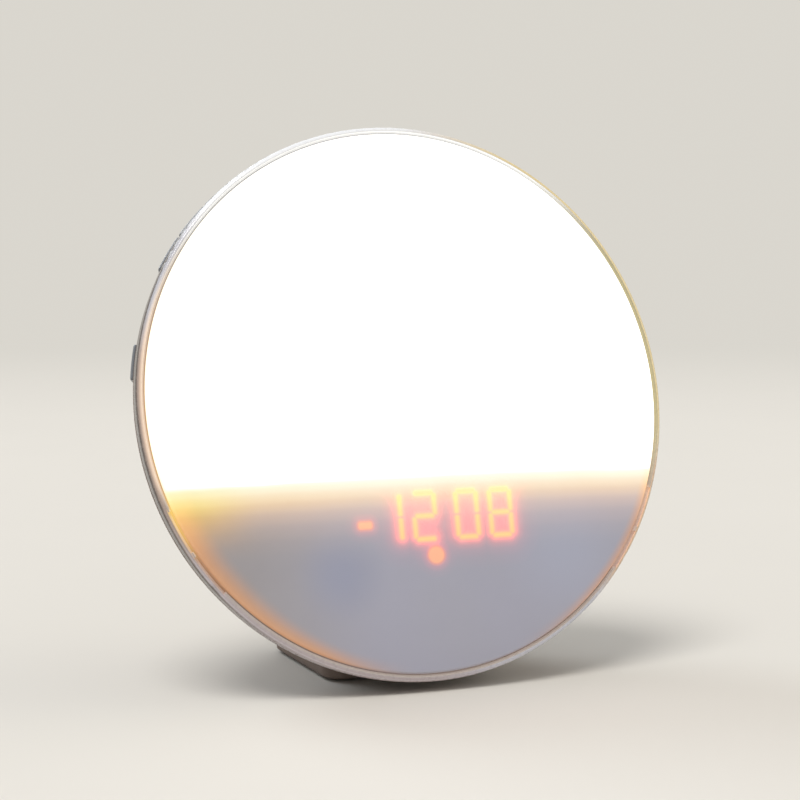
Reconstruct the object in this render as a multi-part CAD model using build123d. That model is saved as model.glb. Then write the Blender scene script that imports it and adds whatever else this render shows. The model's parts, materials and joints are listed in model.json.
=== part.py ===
from build123d import *
from math import asin, cos, degrees, hypot, radians, sin, sqrt, tan
import os

# Sunrise alarm clock: a round lamp and clock that leans back on a wedge foot.
# Everything but the foot is drawn in the disc's own frame: X to the right, Y up along the disc,
# Z straight out of the lens, Z = 0 where lens and ring meet.  stand() puts it on the table.
# The object's frame has Z up, its front towards -Y and its origin in the middle of the sole.
# Sizes are in millimetres and degrees.

# ---- stance ----
disc_radius = 85.0           # widest part of the ring
disc_tilt = 13.0             # how far the disc leans back
table_gap = 3.2              # air under the ring
sole_width = 51.0
sole_depth = 57.5
sole_setback = 4.5           # front edge of the sole behind the disc's centre
sole_corner = 7.0
sole_round = 1.5             # rounding under the foot's edge
foot_flare = 4.0             # the foot's sides open upwards by this angle
heel_lean = 24.0             # the heel leans forward by this angle
foot_height = 54.0           # the foot's prism ends inside the bowl, which is cut out of it
foot_wall = 2.2
foot_seam = 0.1              # between foot and bowl
foot_screw_places = [(-16.0, -15.0), (16.0, -15.0), (-2.0, 3.0)]
foot_screw_seat = 3.6        # height of the seats of the screws under the foot pad
foot_lug_top = 5.6           # the foot's lugs meet the bowl's bosses at this height
boss_radius = 4.0
lead_hole_radius = 4.0       # the leads go from the foot into the bowl here
lead_hole_place = (3.0, -12.0)

# ---- bowl outline, from the ring to the flat back ----
flank_start = 1.8            # depth of the widest circle
flank_arc = 25.0
flank_sweep = 35.0
side_arc = 120.0
side_sweep = 25.0
corner_arc = 18.0
housing_wall = 2.2
ledge_wall = 2.0             # ledge inside the housing that carries the tray's flange

# ---- lens ----
ring_width = 2.4             # from the lens out to the widest circle
lens_radius = disc_radius - ring_width
lens_rise = 9.0
lens_wall = 2.0
lens_skirt = 2.6             # thickness of the skirt
lens_seat = 3.4              # the skirt's foot stands on the ring's shelf at this depth
leg_angles = (0, 60, 120, 180, 240, 300)
leg_width = 9.0
leg_radius = lens_radius - 2.4   # inner face of a snap leg
leg_wall = 1.0
leg_drop = 1.7               # leg below the shelf
barb = 0.7

# ---- front ring ----
seam_gap = 0.3               # round the lens
ring_nose = 1.6              # rounding of the ring's front edge
ring_nose_sweep = 80.0
ring_land = 0.5              # width and depth of the inner land
shelf_reach = 4.3            # shelf under the lens skirt, measured inwards from the seam
shelf_wall = 1.6
ring_split = 4.6             # parting plane to the housing
spigot_wall = 1.5
spigot_gap = 0.1
rim_wall = 1.35              # housing wall left outside the spigot
catch_angles = (22, 68, 112, 158, 192, 232, 308, 348)
catch_width = 8.0
catch_reach = 0.4
window_from = 21.5           # two windows in the ring's land on each side, below the middle
window_to = 41.0
window_rib = 1.6
window_cut = 1.3

# ---- lamp tray ----
tray_wall = 2.0
tray_flange = 2.0
tray_mouth = disc_radius - 8
tray_floor = tray_mouth - 17
tray_depth = 17.0
divider_top = -25.8          # upper face of the wall between lamp and display
divider_wall = 1.4
seal_gap = 0.8               # foam between divider and lens
lens_clear = 0.4             # divider and foam stop short of the lens skirt
post_radius = 3.0
pilot_radius = 1.05          # hole for a board screw in a post
pilot_spare = 0.6            # pilot hole past the screw's tip
lamp_post_drop = 3.5         # short posts behind the tray take the lamp board's screws
fit_gap = 0.1

# ---- boards ----
board_wall = 1.6
lamp_board_radius = tray_floor - 4
lamp_board_low = -23.0
main_board_size = (82.0, 54.0)
main_board_drop = 6.0        # posts between tray and main board
main_post_pitch = (70.0, 42.0)
controller_chip = (10.0, 10.0, 1.4)
controller_place = (-10.0, 7.0)
sound_chip = (6.0, 5.0, 1.6)
sound_chip_place = (13.0, -6.0)
coil_block = (7.0, 7.0, 4.0)     # coil of the voltage converter
coil_block_place = (13.0, 13.0)
capacitor_size = (4.0, 8.0)      # radius and height
capacitor_edge = 14.0        # from the main board's end to the capacitors
capacitor_places = [(main_board_size[0] / 2 - capacitor_edge, y) for y in (8.0, -3.0)]
header_size = (10.0, 5.8, 6.0)   # sockets for the leads to lamp, display, speaker, keys and inlet
header_wall = 0.8
header_floor = 1.4
header_places = [(-24.0, -20.5), (-8.0, -20.5), (8.0, -20.5), (24.0, -20.5), (-24.0, 20.5), (0.0, 20.5)]
header_pin = (0.6, 3.2)          # width and height above the header's floor
header_pin_pitch = 2.0
display_board_size = (66.0, 26.4)
display_post_pitch = (59.6, 20.0)

# ---- clock display ----
display_face = 1.0           # in front of the seam plane
display_body = 6.4
display_size = (53.5, 24.2)
display_centre = (4.25, -39.7)
digit_size = (6.6, 13.7)     # between the middles of the outer segments
digit_pitch = 11.0
pair_pitch = 24.65           # from the hours to the minutes
first_digit = -10.5
digit_row = -35.85
segment_width = 1.4
segment_gap = 0.35
well_depth = 5.0
colon_rise = 2.6
dash_centre = (-18.55, -37.75)
dash_size = (4.0, 2.1)
dot_centre = (3.1, -47.7)
dot_radius = 2.65

# ---- side keys ----
key_depth = 11.7             # middle of a key behind the seam plane
key_height = 7.4
key_proud = 0.9
key_gap = 0.35
key_between = 0.5
key_room = 2.0               # degrees left free of the ledge beside each key
key_travel = 0.5
key_round = 0.5              # rounding of a key's outer edges
key_corner = 0.8             # rounding of its four corners
key_flange = 1.2
bank_start = 29.4            # first key of the bank above the horizontal
bank_pitch = 8.6
single_key = 9.9
single_key_angle = 7.6
switch_board = 17.4          # depth of the key boards
switch_size = (6.0, 3.6, 4.0)
switch_face = disc_radius - 11   # radius of the switches' outer faces
plunger_radius = 1.5
plunger_proud = 0.8

# ---- speaker ----
speaker_radius = 20.0
speaker_flange = 1.2
speaker_land = 3.2           # width of the basket's front land
speaker_screw_angles = (45, 135, 225, 315)
ear_circle = 22.6            # where the speaker's screws stand
ear_radius = 2.6
gasket_wall = 1.0
gasket_width = 2.4
basket_height = 8.0
basket_wall = 1.0
roll_radius = 1.8            # half roll of the surround
roll_wall = 0.4
cone_rise = 4.8
coil_radius = 5.7
coil_gap = 0.4
magnet_radius = 12.5
magnet_height = 6.0
yoke_wall = 1.5
grille_rings = 4
grille_pitch = 4.0
grille_hole = 1.1

# ---- screws ----
housing_screw_angles = (90, 202, 338)
housing_screw_inset = 19.0
housing_screw_circle = disc_radius - housing_screw_inset
tube_radius = 4.4
boss_depth = 20.5            # where the tray's bosses meet the housing's tubes
tube_floor = 2.0
screw_radius = 1.5
screw_head = (2.9, 2.0)
screw_length = 10.0
head_gap = 0.4               # room round a screw's head
board_screw_radius = 1.0
board_screw_head = (2.2, 1.4)
board_screw_length = 6.0

# ---- heel: coin cell and power inlet ----
heel_row = 17.5              # height of both on the heel
door_size = (24.0, 24.0)
door_corner = 2.0
door_wall = 1.8
door_gap = 0.25
door_x = -8.0
door_notch = (5.0, 1.0)      # finger notch above the door: radius and depth
cell_radius = 10.0
cell_height = 3.2
cell_gap = 0.5
cup_wall = 1.6
cup_corner = 3.0
cup_start = 1.2              # the cup grows out of the middle of the heel's wall
contact_room = (1.6, 3.2)    # pocket for the side contact: reach past the cell and half width
contact_wall = 0.5
jack_x = 16.0
jack_recess = 5.5
jack_recess_depth = 6.0
jack_floor = 1.8
jack_tube = 1.8              # wall round the recess
jack_rib = (1.6, 8.0)        # ribs beside the inlet: thickness and reach behind its seat
jack_collar = 4.0
jack_bore = 3.0
jack_body = (9.0, 11.0, 12.0)
jack_pin_radius = 1.0
jack_pin_length = 9.0
jack_bore_depth = 10.0

# ---- sole pad ----
pad_wall = 1.4
pad_recess = 0.7
pad_margin = 4.0
sole_wall = 2.4


# ---------------------------------------------------------------- places
def stand(part):
    """Put a part of the disc's frame on the table."""
    centre = (
        0,
        -sole_depth / 2 - sole_setback,
        table_gap + disc_radius * cos(radians(disc_tilt)) + flank_start * sin(radians(disc_tilt)),
    )
    return Location(centre, (90 - disc_tilt, 0, 0)) * part


def unstand(part):
    """Bring a part of the object's frame into the disc's frame."""
    return stand(Location()).inverse() * part


def polar(radius, angle):
    return (radius * cos(radians(angle)), radius * sin(radians(angle)))


def turned(part, angle):
    return Rot(0, 0, angle) * part


def block(x_range, y_range, z_range):
    """Box between two corners."""
    low = [min(pair) for pair in (x_range, y_range, z_range)]
    high = [max(pair) for pair in (x_range, y_range, z_range)]
    size = [top - bottom for bottom, top in zip(low, high)]
    return Pos(*[(bottom + top) / 2 for bottom, top in zip(low, high)]) * Box(*size)


def rod(radius, z_range, place=(0, 0)):
    """Round rod along Z between two heights."""
    low, high = sorted(z_range)
    return Pos(place[0], place[1], (low + high) / 2) * Cylinder(radius, high - low)


def spun(*outline):
    """Turn a closed (radius, z) outline about Z."""
    return revolve(Plane.XZ * make_face(Polyline(*outline, close=True)), Axis.Z)


def sector(middle, half_angle, z_range, reach=2 * disc_radius):
    """Wedge from the axis outwards, for cutting along radial planes."""
    face = make_face(Polyline((0, 0), polar(reach, -half_angle), polar(reach, half_angle), close=True))
    low, high = sorted(z_range)
    return turned(Pos(0, 0, low) * extrude(face, high - low), middle)


def arc_block(middle, width, r_range, z_range):
    """Block of a given width that stands across a radius."""
    return turned(block(r_range, (-width / 2, width / 2), z_range), middle)


def group(parts):
    return Compound([solid for part in parts for solid in part.solids()])


# ---------------------------------------------------------------- bowl outline
def bowl_curves(inset):
    """Arcs of the bowl from the widest circle to the flat back, moved inwards by inset."""
    flank = JernArc((disc_radius - inset, -flank_start), (0, -1), flank_arc - inset, -flank_sweep)
    side = JernArc(flank @ 1, flank % 1, side_arc - inset, -side_sweep)
    corner_sweep = 90 - flank_sweep - side_sweep
    corner = JernArc(side @ 1, side % 1, corner_arc - inset, -corner_sweep)
    return flank, side, corner


def bowl_solid(inset, front=0.0):
    """Solid bowl from z = front to its flat back."""
    flank, side, corner = bowl_curves(inset)
    back = (corner @ 1).Y
    edges = [
        Line((0, back), (0, front)),
        Line((0, front), (disc_radius - inset, front)),
        Line((disc_radius - inset, front), flank @ 0),
        flank,
        side,
        corner,
        Line(corner @ 1, (0, back)),
    ]
    return revolve(Plane.XZ * make_face(edges), Axis.Z)


def bowl_radius(depth, inset=0.0):
    """Radius of the bowl at a depth on its flank or side."""
    flank_end = flank_start + flank_arc * sin(radians(flank_sweep))
    if depth <= flank_end:
        return disc_radius - flank_arc + sqrt((flank_arc - inset) ** 2 - (depth - flank_start) ** 2)
    centre_depth = flank_end - side_arc * sin(radians(flank_sweep))
    centre_radius = (
        disc_radius - flank_arc * (1 - cos(radians(flank_sweep))) - side_arc * cos(radians(flank_sweep))
    )
    return centre_radius + sqrt((side_arc - inset) ** 2 - (depth - centre_depth) ** 2)


back_depth = -(bowl_curves(0)[2] @ 1).Y
back_inside = -back_depth + housing_wall
seam_radius = lens_radius + seam_gap
shelf_back = -lens_seat - shelf_wall
ledge_top = shelf_back - tray_flange
tray_back = -tray_depth - tray_wall
spigot_radius = bowl_radius(-ledge_top) - rim_wall


# ---------------------------------------------------------------- lens
def dome_height(radius, inset=0.0):
    """Height of the lens's sphere over the seam plane, moved inwards by inset."""
    sphere = (lens_radius ** 2 + lens_rise ** 2) / (2 * lens_rise)
    return lens_rise - sphere + sqrt((sphere - inset) ** 2 - radius ** 2)


def dome_arc(radius, inset=0.0):
    return ThreePointArc(
        (0, dome_height(0, inset)),
        (radius / 2, dome_height(radius / 2, inset)),
        (radius, dome_height(radius, inset)),
    )


def under_dome(radius, inset, low):
    """Everything below the dome's inner side, down to z = low."""
    top = dome_arc(radius, inset)
    edges = [top, Line(top @ 1, (radius, low)), Line((radius, low), (0, low)), Line((0, low), top @ 0)]
    return revolve(Plane.XZ * make_face(edges), Axis.Z)


def make_lens():
    inner = lens_radius - lens_skirt
    outside = dome_arc(lens_radius)
    inside = dome_arc(inner, lens_wall)
    edges = [
        outside,
        Line(outside @ 1, (lens_radius, -lens_seat)),
        Line((lens_radius, -lens_seat), (inner, -lens_seat)),
        Line((inner, -lens_seat), inside @ 1),
        inside,
        Line(inside @ 0, outside @ 0),
    ]
    lens = revolve(Plane.XZ * make_face(edges), Axis.Z)
    rim = lens.edges().filter_by(GeomType.CIRCLE).sort_by(Axis.Z)
    lens = fillet([edge for edge in rim if abs(edge.radius - lens_radius) < 1e-6][-1], lens_wall / 2)
    leg_foot = shelf_back - leg_drop
    for angle in leg_angles:
        lens += arc_block(angle, leg_width, (leg_radius, leg_radius + leg_wall), (leg_foot, -lens_seat))
        hook = make_face(Polyline(
            (leg_radius, leg_foot), (leg_radius, shelf_back - fit_gap),
            (leg_radius - barb, shelf_back - fit_gap), close=True,
        ))
        hook = extrude(Plane.XZ * hook, leg_width / 2, both=True)
        lens += turned(hook, angle)
    return lens


# ---------------------------------------------------------------- front ring
def make_ring():
    nose = JernArc((disc_radius, -flank_start), (0, 1), ring_nose, ring_nose_sweep)
    crest = seam_radius + ring_land
    top = (nose @ 1).Y
    land = top - ring_land
    split_radius = bowl_radius(ring_split)
    flank = JernArc(
        (disc_radius, -flank_start), (0, -1), flank_arc,
        -degrees(asin((ring_split - flank_start) / flank_arc)),
    )
    spigot_inner = spigot_radius - spigot_gap - spigot_wall
    spigot_foot = ledge_top + 2 * fit_gap
    outline = Polyline(
        nose @ 1,
        (crest, top),
        (crest, land),
        (seam_radius, land),
        (seam_radius, -lens_seat),
        (seam_radius - shelf_reach, -lens_seat),
        (seam_radius - shelf_reach, shelf_back),
        (spigot_inner, shelf_back),
        (spigot_inner, spigot_foot),
        (spigot_radius - spigot_gap, spigot_foot),
        (spigot_radius - spigot_gap, -ring_split),
        (split_radius, -ring_split),
    )
    ring = revolve(Plane.XZ * make_face([nose, *outline.edges(), flank]), Axis.Z)
    window_middle = (window_from + window_to) / 2
    window_half = (window_to - window_from) / 2
    for side in (-window_middle, 180 + window_middle):
        cut = sector(side, window_half, (-window_cut - ring_land, lens_rise))
        cut &= rod(crest + ring_land, (-disc_radius, lens_rise))
        cut -= arc_block(side, window_rib, (0, disc_radius), (-disc_radius, lens_rise))
        cut -= rod(seam_radius - seam_gap, (-disc_radius, lens_rise))
        ring -= cut
    slot_radii = (leg_radius - barb - fit_gap, leg_radius + leg_wall + fit_gap)
    for angle in leg_angles:
        ring -= arc_block(angle, leg_width + 4 * fit_gap, slot_radii, (shelf_back - 1, -lens_seat + 1))
    for angle in catch_angles:
        ring += catch(angle, catch_width, spigot_radius - spigot_gap, catch_reach)
    return ring


def catch(angle, width, radius, reach):
    """Snap catch half way down the spigot, a ridge with two sloped faces."""
    middle = (ledge_top - ring_split) / 2
    ridge = make_face(Polyline(
        (radius - reach, middle - 2 * reach), (radius + reach, middle), (radius - reach, middle + 2 * reach),
        close=True,
    ))
    return turned(extrude(Plane.XZ * ridge, width / 2, both=True), angle)


# ---------------------------------------------------------------- lamp tray
def tray_slope(z):
    """Inner radius of the tray's sloped wall."""
    return tray_floor + (tray_mouth - tray_floor) * (z + tray_depth) / (shelf_back + tray_depth)


def tray_space():
    """Room inside the tray and lens, for what stands on the tray's floor."""
    limit = seam_radius - shelf_reach - lens_clear
    dish = spun((0, -tray_depth), (tray_floor, -tray_depth), (tray_mouth, shelf_back), (0, shelf_back))
    return dish + under_dome(limit, lens_wall + seal_gap, shelf_back)


def grid(pitch, centre=(0, 0)):
    """The four corners of a rectangle."""
    across, along = pitch[0] / 2, pitch[1] / 2
    return [(centre[0] + sx * across, centre[1] + sy * along) for sx in (-1, 1) for sy in (-1, 1)]


lamp_screw_side = lamp_board_radius - 14
lamp_screw_places = [(-lamp_screw_side, 8), (lamp_screw_side, 8), (0, lamp_board_radius - 8), (0, -17)]
main_screw_places = grid(main_post_pitch)
display_board_centre = (display_centre[0], divider_top - divider_wall - 0.4 - display_board_size[1] / 2)
display_screw_places = grid(display_post_pitch, display_board_centre)
display_board_back = display_face - display_body - board_wall
key_post_angles = (19.0, 60.5)
key_post_radius = disc_radius - 16.5


def key_posts():
    """Middles of the posts that carry the two key boards."""
    return [polar(key_post_radius, angle) for a in key_post_angles for angle in (a, 180 - a)]


def make_tray():
    slope = hypot(tray_mouth - tray_floor, tray_depth + shelf_back)
    skin = tray_wall * slope / (tray_depth + shelf_back)
    flange_radius = spigot_radius - spigot_gap - spigot_wall - 2 * fit_gap
    tray = spun(
        (0, -tray_depth),
        (tray_floor, -tray_depth),
        (tray_mouth, shelf_back),
        (flange_radius, shelf_back),
        (flange_radius, ledge_top),
        (tray_slope(ledge_top) + skin, ledge_top),
        (tray_slope(tray_back) + skin, tray_back),
        (0, tray_back),
    )
    dish = spun((0, -tray_depth), (tray_floor, -tray_depth), (tray_mouth, shelf_back), (0, shelf_back))
    divider = block((-disc_radius, disc_radius), (divider_top - divider_wall, divider_top), (-tray_depth, lens_rise))
    tray += divider & tray_space()
    for angle in housing_screw_angles:
        boss = rod(tube_radius, (shelf_back - 2, -boss_depth), polar(housing_screw_circle, angle))
        tray += boss - dish
    for place in key_posts():
        tray += rod(post_radius, (shelf_back - 2, -switch_board), place) - dish
    for place in main_screw_places:
        tray += rod(post_radius, (tray_back, tray_back - main_board_drop), place)
    for place in display_screw_places:
        tray += rod(post_radius, (-tray_depth, display_board_back), place)
    for place in lamp_screw_places:
        tray += rod(post_radius, (tray_back, tray_back - lamp_post_drop), place)
    for angle in housing_screw_angles:
        hole = rod(screw_radius + fit_gap / 2, (-boss_depth - 1, -boss_depth + 9), polar(housing_screw_circle, angle))
        tray -= hole
    pilot_depth = board_screw_length - board_wall + pilot_spare
    for place in key_posts():
        tray -= rod(pilot_radius, (-switch_board - 1, -switch_board + pilot_depth), place)
    for place in main_screw_places:
        seat = tray_back - main_board_drop
        tray -= rod(pilot_radius, (seat - 1, seat + pilot_depth), place)
    for place in display_screw_places:
        tray -= rod(pilot_radius, (display_board_back + 1, display_board_back - pilot_depth), place)
    for place in lamp_screw_places:
        tray -= rod(pilot_radius, (-tray_depth + 1, -tray_depth - pilot_depth), place)
    for angle in leg_angles:
        notch_from = leg_radius - barb - 2 * fit_gap
        tray -= arc_block(angle, leg_width + 1, (notch_from, disc_radius), (ledge_top - 1, shelf_back + 1))
    return tray


def make_seal():
    """Foam strip on the divider, shaped to the inside of the lens."""
    strip = block((-disc_radius, disc_radius), (divider_top - divider_wall, divider_top), (-tray_depth, lens_rise))
    limit = seam_radius - shelf_reach - lens_clear
    room = under_dome(limit, lens_wall + fit_gap, shelf_back) - under_dome(limit, lens_wall + seal_gap, shelf_back)
    return strip & room


# ---------------------------------------------------------------- foot
def foot_solid(inset, low):
    """Foot, in the object's frame: a flared prism with a leaning heel, moved inwards by inset."""
    flare = tan(radians(foot_flare))
    lean = tan(radians(heel_lean))

    def section(z):
        half = sole_width / 2 + z * flare - inset / cos(radians(foot_flare))
        heel = sole_depth / 2 - z * lean - inset / cos(radians(heel_lean))
        toe = -sole_depth / 2 + inset
        shape = RectangleRounded(2 * half, heel - toe, sole_corner - inset)
        return Plane.XY.offset(z) * (Pos(0, (heel + toe) / 2) * shape)

    foot = loft([section(low), section(foot_height)])
    if inset:
        return foot
    return fillet(foot.faces().sort_by(Axis.Z)[0].edges(), sole_round)


def heel_plane(x):
    """Plane on the heel's face at the cell's and the inlet's height, facing out."""
    lean = radians(heel_lean)
    y = sole_depth / 2 - heel_row * tan(lean)
    return Plane(origin=(x, y, heel_row), x_dir=(-1, 0, 0), z_dir=(0, cos(lean), sin(lean)))


def on_heel(part, x):
    """Put a part drawn on the heel's plane into the object's frame."""
    return heel_plane(x).location * part


# ---------------------------------------------------------------- rear housing
def key_angles():
    """Middle angle and width of every key, right side first, counted up from the horizontal."""
    bank = [(bank_start + bank_pitch * (i + 0.5), bank_pitch) for i in range(3)]
    return [(single_key, single_key_angle), *bank]


def key_zone():
    """Sectors on both sides where the housing's ledge makes room for the keys."""
    zones = []
    for middle, width in key_angles():
        half = width / 2 + key_room
        for angle in (middle, 180 - middle):
            zones.append(sector(angle, half, (-2 * key_depth, 0)))
    return zones


def cell_cup_depth():
    return door_wall + cell_height + 2 * contact_wall + 0.8


def make_housing():
    housing = bowl_solid(0) - bowl_solid(housing_wall)
    housing &= rod(2 * disc_radius, (-ring_split, -2 * disc_radius))
    housing -= rod(spigot_radius, (0, ledge_top))
    ledge_reach = tray_slope(ledge_top) + 2 * tray_wall
    ledge = rod(disc_radius, (ledge_top, ledge_top - ledge_wall)) - rod(ledge_reach, (0, -disc_radius))
    ledge &= bowl_solid(housing_wall / 2)
    for zone in key_zone():
        ledge -= zone
    housing += ledge
    for angle in catch_angles:
        housing -= catch(angle, catch_width + 4 * fit_gap, spigot_radius, catch_reach)
    housing = add_screw_tubes(housing)
    housing = cut_key_windows(housing)
    housing = add_speaker_seat(housing)
    return add_foot_bosses(housing)


def add_foot_bosses(housing):
    """Bosses under the bowl for the foot's screws, and the hole for the leads."""
    for place in foot_screw_places:
        boss = unstand(rod(boss_radius, (foot_lug_top, foot_height), place)) - bowl_solid(housing_wall / 2)
        housing += boss
        tip = foot_screw_seat + screw_length + pilot_spare
        housing -= unstand(rod(screw_radius + fit_gap / 2, (0, tip), place))
    return housing - unstand(rod(lead_hole_radius, (foot_lug_top, foot_height), lead_hole_place))


def add_screw_tubes(housing):
    seat = -boss_depth - tube_floor
    for angle in housing_screw_angles:
        place = polar(housing_screw_circle, angle)
        housing += rod(tube_radius, (-boss_depth, -back_depth), place) & bowl_solid(housing_wall / 2)
        housing -= rod(screw_head[0] + head_gap, (seat, -back_depth), place)
        housing -= rod(screw_radius + 2 * fit_gap, (-boss_depth + 1, seat - 1), place)
    return housing


def cut_key_windows(housing):
    z_range = (-key_depth - key_height / 2 - key_gap, -key_depth + key_height / 2 + key_gap)
    for middle, width in key_angles():
        half = width / 2 + degrees((key_gap - key_between / 2) / disc_radius)
        for angle in (middle, 180 - middle):
            cut = sector(angle, half, z_range) - rod(tray_mouth, (0, -2 * disc_radius))
            housing -= cut
    return housing


def add_speaker_seat(housing):
    for place in speaker_screw_places():
        housing += rod(ear_radius - 0.3, (back_inside - housing_wall / 2, back_inside + gasket_wall), place)
        housing -= rod(pilot_radius, (back_inside - 1.2, back_inside + 5), place)
    for place in grille_places():
        housing -= rod(grille_hole, (-back_depth - 1, back_inside + 1), place)
    return housing


def speaker_screw_places():
    return [polar(ear_circle, angle) for angle in speaker_screw_angles]


def grille_places():
    """Rings of holes about the middle of the back, six more in each ring."""
    places = [(0, 0)]
    for ring in range(1, grille_rings + 1):
        count = 6 * ring
        places += [polar(ring * grille_pitch, 360 * i / count) for i in range(count)]
    return places


# ---------------------------------------------------------------- foot piece
def make_foot():
    """Wedge under the bowl, in the object's frame, open upwards, with lugs for its screws."""
    foot = foot_solid(0, pad_recess) - foot_solid(foot_wall, pad_recess + sole_wall)
    foot = add_heel(foot)
    for place in foot_screw_places:
        foot += rod(tube_radius, (pad_recess + sole_wall / 2, foot_lug_top), place)
        foot -= rod(screw_head[0] + head_gap, (0, foot_screw_seat), place)
        foot -= rod(screw_radius + 2 * fit_gap, (0, foot_lug_top + 1), place)
    foot -= stand(bowl_solid(-foot_seam))
    return foot - extrude(Plane.XY * pad_outline(), 2 * pad_recess)


def add_heel(foot):
    """Cup for the coin cell and seat for the power inlet, moulded behind the heel."""
    depth = cell_cup_depth()
    cup = RectangleRounded(door_size[0] + 2 * cup_wall, door_size[1] + 2 * cup_wall, cup_corner)
    cup = Pos(0, 0, -cup_start) * extrude(cup, cup_start - depth - cup_wall)
    foot += on_heel(cup, door_x)
    opening = RectangleRounded(door_size[0] + 2 * door_gap, door_size[1] + 2 * door_gap, door_corner + door_gap)
    foot -= on_heel(extrude(opening, door_wall, both=True), door_x)
    notch_radius, notch_depth = door_notch
    foot -= on_heel(rod(notch_radius, (1, -notch_depth), (0, door_size[1] / 2)), door_x)
    pocket = rod(cell_radius + cell_gap, (0, -depth))
    reach, half = contact_room
    pocket += block((cell_radius - 1, cell_radius + reach), (-half, half), (0, -depth))
    foot -= on_heel(pocket, door_x)
    floor = -jack_recess_depth - jack_floor
    foot += on_heel(rod(jack_recess + jack_tube, (-cup_start, floor)), jack_x)
    for side in (-1, 1):
        edge = side * (jack_body[0] / 2 + fit_gap)
        rib = block((edge, edge + side * jack_rib[0]), (-jack_body[1] / 2, jack_body[1] / 2),
                    (-cup_start, floor - jack_rib[1]))
        foot += on_heel(rib, jack_x)
    foot -= on_heel(rod(jack_recess, (1, -jack_recess_depth)), jack_x)
    foot -= on_heel(rod(jack_collar + fit_gap, (1, floor - 1)), jack_x)
    return foot


def pad_outline():
    return RectangleRounded(sole_width - 2 * pad_margin, sole_depth - 2 * pad_margin, sole_corner - pad_margin / 2)


# ---------------------------------------------------------------- side keys and their switches
def make_key(angle, width):
    """One key: cap through the housing's wall, flange inside it and a stem to its switch."""
    half = width / 2 - degrees(key_between / 2 / disc_radius)
    cap_range = (-key_depth - key_height / 2, -key_depth + key_height / 2)
    flange_range = (cap_range[0] - key_flange, cap_range[1] + 0.4)
    behind_wall = housing_wall + key_gap
    cap = (bowl_solid(-key_proud) - bowl_solid(behind_wall)) & sector(0, half, cap_range)
    cap = fillet(cap.edges().filter_by(GeomType.LINE), key_corner)
    touched = max(cap.faces(), key=lambda face: face.center().X)
    cap = fillet(touched.edges(), key_round)
    flange = bowl_solid(behind_wall) - bowl_solid(behind_wall + key_flange)
    flange &= sector(0, half, flange_range)
    stem_reach = bowl_radius(key_depth, behind_wall) - 0.2
    stem_middle = -switch_board + switch_size[2] / 2
    stem = block((switch_face + plunger_proud, stem_reach), (-2, 2), (stem_middle - 1.5, stem_middle + 1.5))
    stem &= bowl_solid(behind_wall + key_flange / 2)
    key = cap + flange + stem
    return turned(key, angle)


def make_plunger(angle):
    height = -switch_board + switch_size[2] / 2
    plunger = Rot(0, 90, 0) * Cylinder(plunger_radius, 1 + plunger_proud)
    return turned(Pos(switch_face + (plunger_proud - 1) / 2, 0, height) * plunger, angle)


def make_switches(angles):
    parts = []
    for angle in angles:
        inner = switch_face - switch_size[1]
        body = block((inner, switch_face), (-switch_size[0] / 2, switch_size[0] / 2),
                     (-switch_board, -switch_board + switch_size[2]))
        bore = Rot(0, 90, 0) * Cylinder(plunger_radius + fit_gap, 2 * (1 + key_travel + fit_gap))
        body -= Pos(switch_face, 0, -switch_board + switch_size[2] / 2) * bore
        parts.append(turned(body, angle))
    return group(parts)


def make_key_board(mirror):
    """Curved board that carries one side's switches and hangs on two of the tray's posts."""
    low, high = single_key - 6, bank_start + 3 * bank_pitch + 8
    z_range = (-switch_board - board_wall, -switch_board)
    board = sector((low + high) / 2, (high - low) / 2, z_range)
    board &= rod(bowl_radius(switch_board + board_wall, housing_wall) - 0.6, (0, -disc_radius))
    board -= rod(key_post_radius - post_radius - 0.5, (0, -disc_radius))
    for angle in key_post_angles:
        board -= rod(board_screw_radius + fit_gap, (0, -disc_radius), polar(key_post_radius, angle))
    return mirrored(board) if mirror else board


def mirrored(part):
    return part.mirror(Plane.YZ)


# ---------------------------------------------------------------- boards
def drilled(board, places):
    for place in places:
        board -= rod(board_screw_radius + fit_gap, (-2 * disc_radius, disc_radius), place)
    return board


def make_lamp_board():
    z_range = (-tray_depth, -tray_depth + board_wall)
    board = rod(lamp_board_radius, z_range)
    board &= block((-disc_radius, disc_radius), (lamp_board_low, disc_radius), z_range)
    return drilled(board, lamp_screw_places)


def lamp_led_places():
    """Rows of LEDs across the lamp board, every second row moved by half a pitch."""
    pitch, edge = 0.27 * lamp_board_radius, 0.09 * lamp_board_radius
    places = []
    rows = int((lamp_board_radius - lamp_board_low - 2 * edge) / pitch) + 1
    for row in range(rows):
        y = lamp_board_low + edge + row * pitch
        shift = pitch / 2 * (row % 2)
        for column in range(-4, 5):
            x = column * pitch + shift
            clear = min(hypot(x - px, y - py) for px, py in lamp_screw_places) > 6
            if hypot(x, y) < lamp_board_radius - edge and clear:
                places.append((x, y))
    return places


def make_leds(places, size, height):
    top = -tray_depth + board_wall
    package = [block((x - size / 2, x + size / 2), (y - size / 2, y + size / 2), (top, top + height))
               for x, y in places]
    return group(package)


def make_main_board():
    seat = tray_back - main_board_drop
    board = Pos(0, 0, seat - board_wall) * extrude(RectangleRounded(*main_board_size, 4.0), board_wall)
    return drilled(board, main_screw_places)


def board_blocks(sizes_and_places):
    """Blocks that stand on the back of the main board."""
    seat = tray_back - main_board_drop - board_wall
    return [block((x - size[0] / 2, x + size[0] / 2), (y - size[1] / 2, y + size[1] / 2), (seat, seat - size[2]))
            for size, (x, y) in sizes_and_places]


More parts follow.
